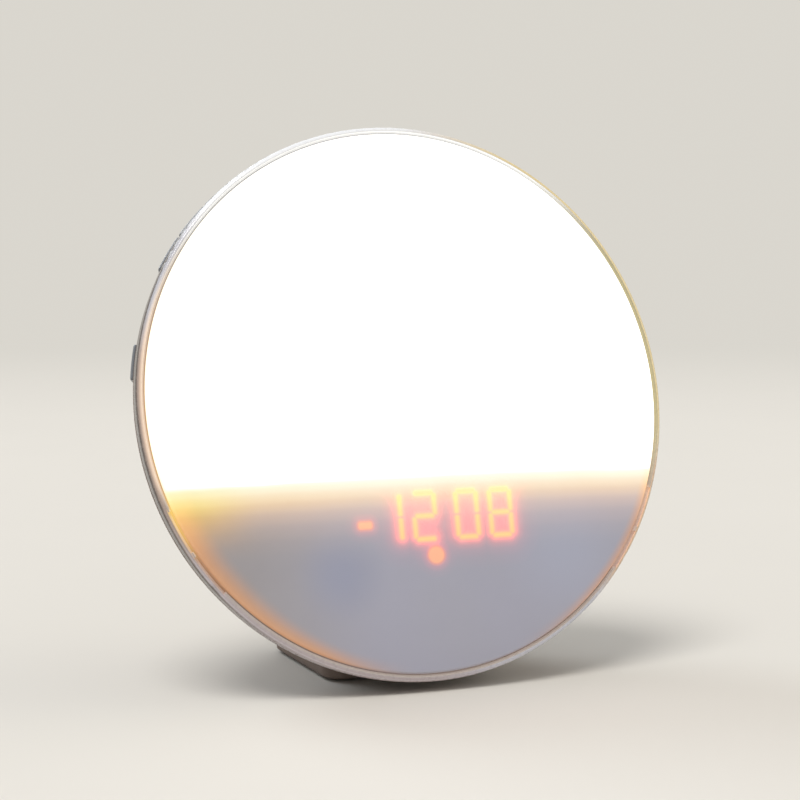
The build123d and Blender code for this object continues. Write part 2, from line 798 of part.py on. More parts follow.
def make_board_parts():
    """Chips, capacitors and lead headers on the back of the main board."""
    seat = tray_back - main_board_drop - board_wall
    chips = board_blocks([
        (controller_chip, controller_place), (sound_chip, sound_chip_place), (coil_block, coil_block_place),
    ])
    radius, height = capacitor_size
    capacitors = [rod(radius, (seat, seat - height), place) for place in capacitor_places]
    room = (header_size[0] - 2 * header_wall, header_size[1] - 2 * header_wall, header_size[2])
    headers, pins = [], []
    width, rise = header_pin
    floor = seat - header_floor
    for shell, hollow, (x, y) in zip(board_blocks([(header_size, place) for place in header_places]),
                                     board_blocks([(room, place) for place in header_places]), header_places):
        headers.append(shell - Pos(0, 0, -header_floor) * hollow)
        for step in (-1.5, -0.5, 0.5, 1.5):
            middle = x + step * header_pin_pitch
            pins.append(block((middle - width / 2, middle + width / 2), (y - width / 2, y + width / 2),
                              (floor, floor - rise)))
    return {
        "board_chips": group(chips),
        "board_capacitors": group(capacitors),
        "lead_headers": group(headers),
        "header_pins": group(pins),
    }


def make_display_board():
    plate = extrude(RectangleRounded(*display_board_size, 2.0), board_wall)
    board = Pos(*display_board_centre, display_board_back) * plate
    return drilled(board, display_screw_places)


# ---------------------------------------------------------------- clock display
segments = {
    "a": ((0, 1), 0), "g": ((0, 0), 0), "d": ((0, -1), 0),
    "f": ((-1, 0.5), 90), "b": ((1, 0.5), 90), "e": ((-1, -0.5), 90), "c": ((1, -0.5), 90),
}
shown = ("bc", "abged", "abcdef", "abcdefg")
digit_places = [first_digit, first_digit + digit_pitch, first_digit + pair_pitch,
                first_digit + pair_pitch + digit_pitch]


def segment_bar(key, digit_x):
    """One bar of a digit with pointed ends."""
    (side, rise), turn = segments[key]
    span = digit_size[0] if turn == 0 else digit_size[1] / 2
    half, tip = span / 2 - segment_gap / sqrt(2), segment_width / 2
    outline = [(-half, 0), (-half + tip, tip), (half - tip, tip), (half, 0), (half - tip, -tip), (-half + tip, -tip)]
    bar = make_face(Polyline(*outline, close=True))
    place = Pos(digit_x + side * digit_size[0] / 2, digit_row + rise * digit_size[1] / 2)
    return place * Rot(0, 0, turn) * bar


def well(face, grow=0.0):
    return Pos(0, 0, display_face - well_depth) * extrude(face, well_depth + grow)


def lit_faces():
    bars = [segment_bar(key, x) for x, keys in zip(digit_places, shown) for key in keys]
    return bars


def dark_faces():
    bars = [segment_bar(key, x) for x, keys in zip(digit_places, shown) for key in segments if key not in keys]
    middle = (digit_places[1] + digit_places[2]) / 2
    dots = [Pos(middle, digit_row + side * colon_rise) * Circle(segment_width / 2) for side in (-1, 1)]
    return bars + dots


def mark_faces():
    return [Pos(*dash_centre) * Rectangle(*dash_size), Pos(*dot_centre) * Circle(dot_radius)]


def make_display_block():
    plate = extrude(RectangleRounded(*display_size, 1.5), display_body)
    block_part = Pos(*display_centre, display_face - display_body) * plate
    for face in lit_faces() + dark_faces() + mark_faces():
        block_part -= well(face, 1.0)
    return block_part


# ---------------------------------------------------------------- speaker
def make_speaker():
    """Gasket, basket, surround, cone, magnet and yoke, from the housing's back wall forwards."""
    seat = back_inside + gasket_wall
    flange_top = seat + speaker_flange
    land = speaker_radius - speaker_land
    top = flange_top + basket_height
    magnet_foot = top + basket_wall
    magnet_top = magnet_foot + magnet_height
    hole = coil_radius + coil_gap
    gasket = rod(speaker_radius, (back_inside, seat)) - rod(speaker_radius - gasket_width, (-disc_radius, 0))
    basket = spun(
        (land, seat), (speaker_radius, seat), (speaker_radius, flange_top), (land + basket_wall, flange_top),
        (magnet_radius, magnet_foot), (hole, magnet_foot), (hole, top), (magnet_radius - basket_wall, top),
        (land, flange_top),
    )
    for angle in speaker_screw_angles:
        ear = rod(ear_radius, (seat, flange_top), (ear_circle, 0))
        ear += block((speaker_radius - 1, ear_circle), (-ear_radius, ear_radius), (seat, flange_top))
        basket += turned(ear, angle)
    basket = drilled(basket, speaker_screw_places())
    roll_middle = land - roll_radius
    roll = Circle(roll_radius) - Circle(roll_radius - roll_wall)
    roll &= Pos(0, roll_radius) * Rectangle(4 * roll_radius, 2 * roll_radius)
    surround = revolve(Plane.XZ * (Pos(roll_middle, seat) * roll), Axis.Z)
    outer_lip = (land - 2 * roll_wall, speaker_radius - gasket_width - fit_gap)
    inner_lip = (roll_middle - roll_radius - 2 * roll_wall, roll_middle - roll_radius + 2 * roll_wall)
    for low, high in (outer_lip, inner_lip):
        surround += rod(high, (seat - roll_wall, seat)) - rod(low, (-disc_radius, 0))
    rim = roll_middle - roll_radius - 0.5 * fit_gap
    neck = seat + cone_rise
    cone = spun(
        (rim - roll_wall, seat), (rim, seat), (coil_radius, neck), (coil_radius, magnet_foot + 2),
        (coil_radius - roll_wall, magnet_foot + 2), (coil_radius - roll_wall, neck - roll_wall),
        (0, neck - 2.0), (0, neck - 2.4), (coil_radius - roll_wall, neck - 2 * roll_wall),
    )
    magnet = rod(magnet_radius, (magnet_foot, magnet_top)) - rod(hole, (-disc_radius, 0))
    pole = coil_radius - roll_wall - coil_gap
    yoke = rod(magnet_radius + basket_wall, (magnet_top, magnet_top + yoke_wall)) + rod(pole, (top, magnet_top))
    return {
        "speaker_gasket": gasket,
        "speaker_basket": basket,
        "speaker_surround": surround,
        "speaker_cone": cone,
        "speaker_magnet": magnet,
        "speaker_yoke": yoke,
    }


# ---------------------------------------------------------------- screws
def screw(radius, head, length, place, seat, up):
    """Pan-head screw whose head lies on z = seat; up is +1 where it points towards the lens."""
    shank = rod(radius, (seat, seat + up * length), place)
    cap = rod(head[0], (seat, seat - up * head[1]), place)
    return shank + cap


def make_board_screws():
    size = (board_screw_radius, board_screw_head, board_screw_length)
    screws = [screw(*size, place, -tray_depth + board_wall, -1) for place in lamp_screw_places]
    screws += [screw(*size, place, display_board_back + board_wall, -1) for place in display_screw_places]
    screws += [screw(*size, place, tray_back - main_board_drop - board_wall, 1) for place in main_screw_places]
    screws += [screw(*size, place, -switch_board - board_wall, 1) for place in key_posts()]
    return group(screws)


def make_housing_screws():
    seat = -boss_depth - tube_floor
    places = [polar(housing_screw_circle, angle) for angle in housing_screw_angles]
    return group([screw(screw_radius, screw_head, screw_length, place, seat, 1) for place in places])


def make_foot_screws():
    return group([screw(screw_radius, screw_head, screw_length, place, foot_screw_seat, 1)
                  for place in foot_screw_places])


def make_speaker_screws():
    seat = back_inside + gasket_wall + speaker_flange
    return group([screw(board_screw_radius, board_screw_head, 3.0, place, seat, -1)
                  for place in speaker_screw_places()])


# ---------------------------------------------------------------- heel pieces
def make_heel_pieces():
    """Coin cell with its contacts and door, and the power inlet, in the object's frame."""
    depth = cell_cup_depth()
    door = extrude(RectangleRounded(*door_size, door_corner), -door_wall)
    cell_low = -depth + contact_wall
    cell = rod(cell_radius, (cell_low, cell_low + cell_height))
    minus = block((-7, 7), (-3, 3), (-depth, -depth + contact_wall))
    plus = block((cell_radius, cell_radius + contact_wall), (-2.8, 2.8), (-depth, -door_wall - 0.3))
    floor = -jack_recess_depth - jack_floor
    jack = rod(jack_collar, (-jack_recess_depth, floor))
    jack += block((-jack_body[0] / 2, jack_body[0] / 2), (-jack_body[1] / 2, jack_body[1] / 2),
                  (floor, floor - jack_body[2]))
    jack -= rod(jack_bore, (0, -jack_recess_depth - jack_bore_depth))
    pin_foot = -jack_recess_depth - jack_bore_depth
    pin = rod(jack_pin_radius, (pin_foot, pin_foot + jack_pin_length))
    return {
        "battery_door": on_heel(door, door_x),
        "coin_cell": on_heel(cell, door_x),
        "cell_contact_minus": on_heel(minus, door_x),
        "cell_contact_plus": on_heel(plus, door_x),
        "power_jack": on_heel(jack, jack_x),
        "power_jack_pin": on_heel(pin, jack_x),
    }


def make_pad():
    return extrude(Plane.XY * pad_outline(), pad_wall)


# ---------------------------------------------------------------- assembly
def build_all():
    disc = {
        "front_lens": make_lens(),
        "front_ring": make_ring(),
        "lamp_tray": make_tray(),
        "light_seal": make_seal(),
        "rear_housing": make_housing(),
        "lamp_board": make_lamp_board(),
        "main_board": make_main_board(),
        "display_board": make_display_board(),
        "display_block": make_display_block(),
        "lit_segments": group([well(face) for face in lit_faces()]),
        "dark_segments": group([well(face) for face in dark_faces()]),
        "status_lights": group([well(face) for face in mark_faces()]),
        "board_screws": make_board_screws(),
        "housing_screws": make_housing_screws(),
        "speaker_screws": make_speaker_screws(),
        **make_board_parts(),
        **make_speaker(),
    }
    places = lamp_led_places()
    disc["white_leds"] = make_leds(places[0::2], 5.0, 1.6)
    disc["colour_leds"] = make_leds(places[1::2], 3.5, 1.4)
    for side, flip in (("right", False), ("left", True)):
        angles = [180 - middle if flip else middle for middle, _ in key_angles()]
        disc[f"key_board_{side}"] = make_key_board(flip)
        disc[f"key_switches_{side}"] = make_switches(angles)
        for number, (angle, (_, width)) in enumerate(zip(angles, key_angles()), 1):
            disc[f"key_{side}_{number}"] = make_key(angle, width)
            disc[f"plunger_{side}_{number}"] = make_plunger(angle)
    nodes = {name: stand(part) for name, part in disc.items()}
    nodes["foot"] = make_foot()
    nodes["foot_pad"] = make_pad()
    nodes["foot_screws"] = make_foot_screws()
    nodes.update(make_heel_pieces())
    return nodes


os.makedirs("parts", exist_ok=True)
for name, part in build_all().items():
    export_step(part, f"parts/{name}.step")
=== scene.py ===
import json
from math import cos, hypot, pi, radians, sin, sqrt

import bmesh
import bpy
from mathutils import Matrix, Vector


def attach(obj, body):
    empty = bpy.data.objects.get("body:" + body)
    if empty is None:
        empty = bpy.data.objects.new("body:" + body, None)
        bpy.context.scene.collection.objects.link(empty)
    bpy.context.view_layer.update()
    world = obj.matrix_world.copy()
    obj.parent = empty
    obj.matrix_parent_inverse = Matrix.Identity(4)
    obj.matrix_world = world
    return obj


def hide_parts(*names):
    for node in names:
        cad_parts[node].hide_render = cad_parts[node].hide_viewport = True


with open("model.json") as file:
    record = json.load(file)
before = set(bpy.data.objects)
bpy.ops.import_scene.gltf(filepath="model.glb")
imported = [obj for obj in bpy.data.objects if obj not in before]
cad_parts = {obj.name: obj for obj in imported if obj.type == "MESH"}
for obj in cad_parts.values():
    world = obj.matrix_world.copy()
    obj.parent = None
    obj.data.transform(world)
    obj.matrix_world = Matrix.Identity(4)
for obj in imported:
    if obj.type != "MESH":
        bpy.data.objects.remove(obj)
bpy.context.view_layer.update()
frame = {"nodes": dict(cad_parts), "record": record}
nodes = frame["nodes"]
bodies = frame["record"]["behaviour"]["bodies"]
print("frame loaded,", len(nodes), "nodes")

mm = 0.001

# the disc's own frame: x right, y up along the disc, z out of the lens, zero where lens and ring meet
disc = {"centre": (0.0, -0.03325, 0.086426), "turn": 77.0}
discTurn = (radians(disc["turn"]), 0.0, 0.0)
fromDisc = Matrix.Translation(disc["centre"]) @ Matrix.Rotation(discTurn[0], 4, "X") @ Matrix.Scale(mm, 4)
black = (0.0, 0.0, 0.0)


def bodyOf(node):
    return next(body for body, members in bodies.items() if node in members)


# short ways to add nodes and join them
def plug(tree, socket, value):
    if isinstance(value, bpy.types.NodeSocket):
        tree.links.new(value, socket)
    else:
        socket.default_value = value


def addNode(tree, kind, inputs=None, **settings):
    node = tree.nodes.new(kind)
    for name, value in settings.items():
        setattr(node, name, value)
    for key, value in (inputs or {}).items():
        plug(tree, node.inputs[key], value)
    return node


def calc(tree, operation, first, second=0.0, third=0.0):
    node = addNode(tree, "ShaderNodeMath", {0: first, 1: second, 2: third}, operation=operation)
    return node.outputs[0]


def product(tree, first, *others):
    for other in others:
        first = calc(tree, "MULTIPLY", first, other)
    return first


def smallest(tree, first, *others):
    for other in others:
        first = calc(tree, "MINIMUM", first, other)
    return first


def fade(tree, value, start, end, low=0.0, high=1.0):
    # smooth step between two values
    limits = {"Value": value, "From Min": start, "From Max": end, "To Min": low, "To Max": high}
    node = addNode(tree, "ShaderNodeMapRange", limits, interpolation_type="SMOOTHSTEP")
    return node.outputs["Result"]


def fadeTurn(tree, angle, start, end, low=0.0, high=1.0):
    # the same between two angles in degrees
    return fade(tree, angle, radians(start), radians(end), low, high)


def between(tree, angle, start, end, soft):
    # 1 between two angles in degrees, with soft ends
    rise = fadeTurn(tree, angle, start - soft, start + soft)
    return product(tree, rise, fadeTurn(tree, angle, end + soft, end - soft))


def share(tree, angle, start, end):
    # how far an angle has gone from one to another, both in degrees
    limits = {"Value": angle, "From Min": radians(start), "From Max": radians(end)}
    return addNode(tree, "ShaderNodeMapRange", limits).outputs["Result"]


def ramp(tree, value, stops, interpolation="LINEAR"):
    node = addNode(tree, "ShaderNodeValToRGB", {"Fac": value})
    band = node.color_ramp
    band.interpolation = interpolation
    while len(band.elements) < len(stops):
        band.elements.new(1.0)
    for element, (place, colour) in zip(band.elements, stops):
        element.position = place
        element.color = (*colour, 1.0)
    return node.outputs["Color"]


def blendColour(tree, amount, first, second, mode="MIX"):
    node = addNode(tree, "ShaderNodeMix", data_type="RGBA", blend_type=mode, clamp_factor=True)
    for key, value in ((0, amount), (6, first), (7, second)):
        plug(tree, node.inputs[key], (*value, 1.0) if isinstance(value, tuple) else value)
    return node.outputs[2]


def objectPoint(tree, scale=(1, 1, 1)):
    coordinates = addNode(tree, "ShaderNodeTexCoord")
    mapping = addNode(tree, "ShaderNodeMapping", {"Vector": coordinates.outputs["Object"], "Scale": scale})
    return mapping.outputs["Vector"]


def discPoint(tree):
    # millimetres in the disc's frame, read from object coordinates
    coordinates = addNode(tree, "ShaderNodeTexCoord")
    mapping = addNode(tree, "ShaderNodeMapping", {
        "Vector": coordinates.outputs["Object"], "Location": disc["centre"],
        "Rotation": discTurn, "Scale": (mm, mm, mm)}, vector_type="TEXTURE")
    return mapping.outputs["Vector"]


def discAxes(tree):
    # point, x, y, z, distance from the axis and angle in the disc's frame
    point = discPoint(tree)
    axes = addNode(tree, "ShaderNodeSeparateXYZ", {"Vector": point}).outputs
    flat = addNode(tree, "ShaderNodeCombineXYZ", {"X": axes["X"], "Y": axes["Y"]}).outputs[0]
    radius = addNode(tree, "ShaderNodeVectorMath", {0: flat}, operation="LENGTH").outputs["Value"]
    angle = calc(tree, "ARCTAN2", axes["Y"], axes["X"])
    return point, axes["X"], axes["Y"], axes["Z"], radius, angle


def noiseOf(tree, point, scale, detail=3.0, roughness=0.5):
    inputs = {"Vector": point, "Scale": scale, "Detail": detail, "Roughness": roughness}
    return addNode(tree, "ShaderNodeTexNoise", inputs).outputs["Fac"]


def newMaterial(name, roughness=0.5, metallic=0.0, **sockets):
    material = bpy.data.materials.new(name)
    material.use_nodes = True
    tree = material.node_tree
    shader = tree.nodes["Principled BSDF"]
    shader.inputs["Roughness"].default_value = roughness
    shader.inputs["Metallic"].default_value = metallic
    for key, value in sockets.items():
        shader.inputs[key.replace("_", " ")].default_value = value
    return material, tree, shader


def addBump(tree, shader, height, strength, distance, edge=0.0):
    # grain, over edges that read as slightly rounded where an edge radius is given
    inputs = {"Height": height, "Strength": strength, "Distance": distance}
    if edge:
        inputs["Normal"] = addNode(tree, "ShaderNodeBevel", {"Radius": edge}, samples=6).outputs["Normal"]
    bump = addNode(tree, "ShaderNodeBump", inputs)
    tree.links.new(bump.outputs["Normal"], shader.inputs["Normal"])


camera = {"place": (-0.223558, -0.588228, 0.131390), "ahead": (0.366817, 0.927205, -0.075746),
          "up": (0.029528, 0.069776, 0.997126), "lens": 89.26, "sensor": 36, "near": 0.01}


def makeCamera():
    data = bpy.data.cameras.new("camera")
    data.lens, data.sensor_width, data.clip_start = camera["lens"], camera["sensor"], camera["near"]
    eye = bpy.data.objects.new("camera", data)
    bpy.context.scene.collection.objects.link(eye)
    ahead, up = Vector(camera["ahead"]), Vector(camera["up"])
    right = ahead.cross(up).normalized()
    up = right.cross(ahead)
    turn = Matrix((right, up, -ahead)).transposed()
    eye.matrix_world = Matrix.Translation(camera["place"]) @ turn.to_4x4()
    bpy.context.scene.camera = eye


makeCamera()
print("camera placed")


# Geometry Nodes trees work in millimetres, and end by scaling and placing what they made
onDisc = {"Place": disc["centre"], "Turn": discTurn, "Scale": (mm, mm, mm)}
onTable = {"Place": (0.0, 0.0, 0.0), "Turn": (0.0, 0.0, 0.0), "Scale": (mm, mm, mm)}
placing = [("Place", "Vector", (0, 0, 0)), ("Turn", "Rotation", None), ("Scale", "Vector", (mm, mm, mm))]
sharpAngle = 38
axisGap = 0.001    # the turned outlines start this far from the axis
bumpDepth = 0.0001


def newTree(name, sockets):
    tree = bpy.data.node_groups.new(name, "GeometryNodeTree")
    tree.interface.new_socket("Geometry", in_out="INPUT", socket_type="NodeSocketGeometry")
    for label, kind, value in sockets + placing:
        socket = tree.interface.new_socket(label, in_out="INPUT", socket_type="NodeSocket" + kind)
        if value is not None:
            socket.default_value = value
    tree.interface.new_socket("Geometry", in_out="OUTPUT", socket_type="NodeSocketGeometry")
    return tree, tree.nodes.new("NodeGroupInput").outputs, tree.nodes.new("NodeGroupOutput")


def endTree(tree, entry, leave, shape, dress=False):
    placed = addNode(tree, "GeometryNodeTransform", {
        "Geometry": shape.outputs[0], "Translation": entry["Place"], "Rotation": entry["Turn"],
        "Scale": entry["Scale"]})
    last = addNode(tree, "GeometryNodeRealizeInstances", {"Geometry": placed.outputs[0]})
    if dress:
        last = addNode(tree, "GeometryNodeSetMaterial", {
            "Geometry": last.outputs[0], "Material": entry["Material"]})
    tree.links.new(last.outputs[0], leave.inputs["Geometry"])
    return tree


def cutAway(tree, solid, tool, crossing=False):
    # crossing is for tools that run through each other
    inputs = {"Mesh 1": solid.outputs[0], "Self Intersection": crossing}
    cut = addNode(tree, "GeometryNodeMeshBoolean", inputs, operation="DIFFERENCE", solver="EXACT")
    tree.links.new(tool.outputs[0], cut.inputs["Mesh 2"])
    return cut


def lifted(tree, shape, height):
    lift = addNode(tree, "ShaderNodeCombineXYZ", {"Z": height}).outputs[0]
    return addNode(tree, "GeometryNodeTransform", {"Geometry": shape.outputs[0], "Translation": lift})


def growPiece(name, seed, tree, values, body):
    # runs a tree on a seed mesh and keeps the result as a plain mesh
    piece = bpy.data.objects.new(name, seed)
    bpy.context.scene.collection.objects.link(piece)
    modifier = piece.modifiers.new(tree.name, "NODES")
    modifier.node_group = tree
    for item in tree.interface.items_tree:
        if item.in_out == "INPUT" and item.name in values:
            modifier[item.identifier] = values[item.name]
    mesh = bpy.data.meshes.new_from_object(piece.evaluated_get(bpy.context.evaluated_depsgraph_get()))
    piece.modifiers.remove(modifier)
    piece.data = mesh
    mesh.name = name
    bm = bmesh.new()
    bm.from_mesh(mesh)
    bmesh.ops.recalc_face_normals(bm, faces=bm.faces)
    bm.to_mesh(mesh)
    bm.free()
    mesh.set_sharp_from_angle(angle=radians(sharpAngle))
    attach(piece, body)
    return piece


def pointMesh(name, points, edges=()):
    mesh = bpy.data.meshes.new(name)
    mesh.from_pydata(points, list(edges), [])
    return mesh


def outlineMesh(name, outline):
    # an open outline of (radius, z), laid out the way the turning tree reads it
    points = [(radius, -z, 0.0) for radius, z in outline]
    return pointMesh(name, points, [(i, i + 1) for i in range(len(points) - 1)])


def makeTurningTree():
    # turns an outline round z, and welds its ends where they meet the axis
    tree, entry, leave = newTree("turnedOutline", [
        ("Steps", "Int", 128), ("Weld", "Float", 10 * axisGap), ("Material", "Material", None)])
    outline = addNode(tree, "GeometryNodeMeshToCurve", {"Mesh": entry["Geometry"]})
    circle = addNode(tree, "GeometryNodeCurvePrimitiveCircle", {
        "Resolution": entry["Steps"], "Radius": axisGap})
    upright = addNode(tree, "GeometryNodeSetCurveNormal", {"Curve": circle.outputs["Curve"]}, mode="Z_UP")
    swept = addNode(tree, "GeometryNodeCurveToMesh", {
        "Curve": upright.outputs[0], "Profile Curve": outline.outputs[0]})
    welded = addNode(tree, "GeometryNodeMergeByDistance", {
        "Geometry": swept.outputs[0], "Distance": entry["Weld"]})
    smooth = addNode(tree, "GeometryNodeSetShadeSmooth", {
        "Geometry": welded.outputs[0], "Shade Smooth": True})
    return endTree(tree, entry, leave, smooth, dress=True)


turningTree = makeTurningTree()


# front lens: a turned dome, with the lamp, the clock and the rim light in its material
lens = {"radius": 82.6, "rise": 9.0, "wall": 2.0, "skirt": 2.6, "seat": 3.4, "shoulder": -1.0,
        "steps": 256, "rings": 44, "crowding": 0.9, "backRings": 12}    # the rings crowd towards the rim
lensEdge = {"round": 1.0, "begin": 0.93, "from": 12, "step": 13, "count": 6}    # from and step in degrees
lensMap = {"middle": (0.455, 0.545), "scale": 0.0053, "backMiddle": (0.93, 0.07), "backScale": 0.00075,
           "wallFrom": 82, "wallSpread": 0.02, "facing": 0.02}

clock = {
    "row": -35.85, "places": (-10.5, 0.5, 14.15, 25.15), "lit": ("bc", "abged", "abcdef", "abcdefg"),
    "bar": (6.6, 13.7), "barEnd": 0.95,
    "dash": (-18.55, -37.75), "dashHalf": (1.35, 0.25), "dashRound": 0.4,
    "dot": (3.1, -47.6), "dotRadius": 2.1,
    "oneHalf": (0.0, 5.0), "figureHalf": (2.4, 5.6), "rowMiddle": 10.2, "rowHalf": (17.0, 4.5),
    "face": 1.0, "slant": (0.43, 0.08)}    # slant: how far the picture shifts per mm in front of the face
# side, height and whether it stands upright, for each bar of a figure
barPlaces = {"a": (0, 1, False), "g": (0, 0, False), "d": (0, -1, False), "f": (-1, 0.5, True),
             "b": (1, 0.5, True), "e": (-1, -0.5, True), "c": (1, -0.5, True)}
clockLight = {
    "digit": ((0.0, (0.68, 0.35, 0.015)), (0.05, (0.68, 0.28, 0.005)), (0.11, (0.60, 0.09, 0.0)),
              (0.17, (0.40, 0.03, 0.0)), (0.26, (0.19, 0.008, 0.0)), (0.40, (0.08, 0.0, 0.0)),
              (0.65, (0.025, 0.0, 0.0)), (1.0, black)),
    "mark": ((0.0, (0.60, 0.19, 0.02)), (0.06, (0.58, 0.13, 0.02)), (0.14, (0.40, 0.04, 0.0)),
             (0.28, (0.16, 0.0, 0.0)), (0.6, (0.03, 0.0, 0.0)), (1.0, black)),
    "haze": (0.27, 0.018, 0.0), "row": (0.16, 0.006, 0.002), "brightest": (1.0, 0.60, 0.27),
    "digitReach": 10.0, "markReach": 5.0, "hazeReach": 3.8, "rowReach": 7.0, "brightFade": (1.0, 0.3)}

lamp = {
    "edge": -23.9, "reach": 25.0, "wobble": 0.04, "wobbleScale": 0.05, "goldFrom": (-50.0, -74.0),
    "glare": 0.7, "glareRise": (1.0, 9.0), "glareLight": (1.9, 1.9, 1.85),
    "rimFade": (81.5, 82.5), "rimDim": 0.75, "rimCream": (0.80, 0.74, 0.55),
    "plain": ((0.0, (1.0, 1.0, 1.0)), (0.04, (0.72, 0.72, 0.53)), (0.13, (0.66, 0.55, 0.30)),
              (0.24, (0.54, 0.36, 0.13)), (0.36, (0.34, 0.205, 0.085)), (0.50, (0.17, 0.10, 0.05)),
              (0.66, (0.07, 0.04, 0.02)), (0.82, (0.02, 0.012, 0.006)), (1.0, black)),
    "goldGlow": ((0.0, (1.0, 1.0, 1.0)), (0.05, (0.72, 0.72, 0.50)), (0.14, (0.70, 0.61, 0.27)),
             (0.24, (0.62, 0.46, 0.11)), (0.34, (0.48, 0.29, 0.045)), (0.44, (0.37, 0.19, 0.03)),
             (0.56, (0.24, 0.11, 0.02)), (0.72, (0.09, 0.035, 0.005)), (0.9, black))}

rimLight = {
    "left": (-160, -106, 12), "leftStart": (-145, -100, 75.0, 78.5), "right": (-58, -14, 14),
    "rightFade": (79.0, 83.0), "rightShare": 0.8, "end": 83.2, "colour": (0.30, 0.085, 0.01),
    "edgeFade": (81.4, 82.5), "edgeDrop": (40.0, -60.0, 0.25, 0.06), "edgeColour": (0.62, 0.48, 0.34)}

# light in the seam between lens and ring, by angle from the left end round the bottom, right and top
seamStops = (
    (-180, (0.30, 0.18, 0.10)), (-162, (0.36, 0.22, 0.10)), (-140, (0.09, 0.07, 0.065)),
    (-22, (0.12, 0.08, 0.06)), (-12, (0.24, 0.20, 0.10)), (40, (0.24, 0.23, 0.15)), (60, (0.22, 0.22, 0.205)),
    (140, (0.17, 0.17, 0.17)), (165, (0.23, 0.155, 0.11)), (180, (0.30, 0.18, 0.10)))
seamDepth = (-0.35, -0.6)
# the two windows in the ring's inner land: start and end in degrees, and the light from one to the other
windows = (
    (-159.0, -138.5, ((0.0, (0.56, 0.38, 0.10)), (0.35, (0.42, 0.25, 0.085)), (0.6, (0.22, 0.12, 0.07)),
                      (1.0, (0.16, 0.085, 0.05)))),
    (-41.5, -21.0, ((0.0, (0.22, 0.13, 0.10)), (0.6, (0.24, 0.14, 0.10)), (1.0, (0.34, 0.20, 0.12)))))
windowMargin = 2

opal = {
    # left and right carry painted light, and the spots are painted reflections
    "left": (0.345, 0.325, 0.338), "right": (0.400, 0.402, 0.490), "turn": (-62.0, -12.0),
    # leak, the clock tint and gold are painted glow of the lamp and clock in the body colour
    "cloud": (0.41, 0.405, 0.45), "leak": (0.35, 0.25, 0.15), "paintedClockGlow": (0.39, 0.34, 0.31),
    "goldGlow": (0.31, 0.26, 0.17), "goldFade": (-48.0, -32.0), "cloudScale": 0.028, "cloudShare": 0.22,
    "grainScale": 1.4, "polish": (0.19, 0.27), "paintedLeakShare": 0.85, "clockFade": (1.3, 0.2, 0.0, 0.85),
    "paintedReflectionShare": 0.8,    # middle, reach and tone of each painted reflection
    "spots": ((-27, -52, 17, (0.325, 0.345, 0.46)), (46, -49, 26, (0.415, 0.435, 0.55)))}


def lensProfile():
    radius, rise, wall = lens["radius"], lens["rise"], lens["wall"]
    inner = radius - lens["skirt"]
    sphere = (radius ** 2 + rise ** 2) / (2 * rise)

    def height(r, inset=0.0):
        return rise - sphere + sqrt((sphere - inset) ** 2 - r * r)

    # from the middle of the dome out over its rounded edge, down to the seat and back along the hollow
    edge = lensEdge["round"]
    last = radius - edge * lensEdge["begin"]
    outline = []
    for i in range(lens["rings"] + 1):
        r = last * sin(0.5 * pi * i / lens["rings"]) ** lens["crowding"]
        outline.append((r, height(r)))
    top = outline[-1][1] - edge * cos(radians(lensEdge["from"]))
    for i in range(1, lensEdge["count"] + 1):
        a = radians(lensEdge["from"] + lensEdge["step"] * i)
        outline.append((radius - edge + edge * sin(a), top + edge * cos(a)))
    outline += [(radius, lens["shoulder"]), (radius, -lens["seat"]), (inner, -lens["seat"])]
    for i in range(lens["backRings"] + 1):
        r = inner * (1 - i / lens["backRings"])
        outline.append((r, height(r, wall)))
    return outline


def seamLight(tree, angle):
    stops = [((a + 180) / 360, tone) for a, tone in seamStops]
    return ramp(tree, share(tree, angle, -180, 180), stops)


def lampGlow(tree, point, x, y, radius):
    # light that spills under the lamp's lower edge, golden towards the left rim
    reach, edge, wobble = lamp["reach"], lamp["edge"], lamp["wobble"]
    depth = calc(tree, "MULTIPLY_ADD", y, -1.0 / reach, edge / reach)
    uneven = noiseOf(tree, point, lamp["wobbleScale"], 2.0)
    depth = calc(tree, "ADD", depth, calc(tree, "MULTIPLY_ADD", uneven, wobble, -wobble / 2))
    goldShare = fade(tree, x, *lamp["goldFrom"])
    light = blendColour(tree, goldShare, ramp(tree, depth, lamp["plain"], "CARDINAL"),
                        ramp(tree, depth, lamp["goldGlow"], "CARDINAL"))
    start, end = lamp["glareRise"]
    glare = product(tree, fade(tree, y, edge + start, edge + end), lamp["glare"])
    light = blendColour(tree, glare, light, lamp["glareLight"])
    rim = fade(tree, radius, *lamp["rimFade"], 0.0, lamp["rimDim"])
    return blendColour(tree, rim, light, lamp["rimCream"], "DARKEN"), goldShare


def rimLeak(tree, radius, angle, y):
    # light that creeps round the rim, wide on the lower left and narrow on the right
    start = fadeTurn(tree, angle, *rimLight["leftStart"])
    wide = product(tree, fade(tree, radius, start, rimLight["end"]), between(tree, angle, *rimLight["left"]))
    right = product(tree, between(tree, angle, *rimLight["right"]), rimLight["rightShare"])
    leak = calc(tree, "MAXIMUM", wide, product(tree, fade(tree, radius, *rimLight["rightFade"]), right))
    light = blendColour(tree, leak, black, rimLight["colour"])
    edge = product(tree, fade(tree, radius, *rimLight["edgeFade"]), fade(tree, y, *rimLight["edgeDrop"]))
    return leak, blendColour(tree, edge, light, rimLight["edgeColour"])


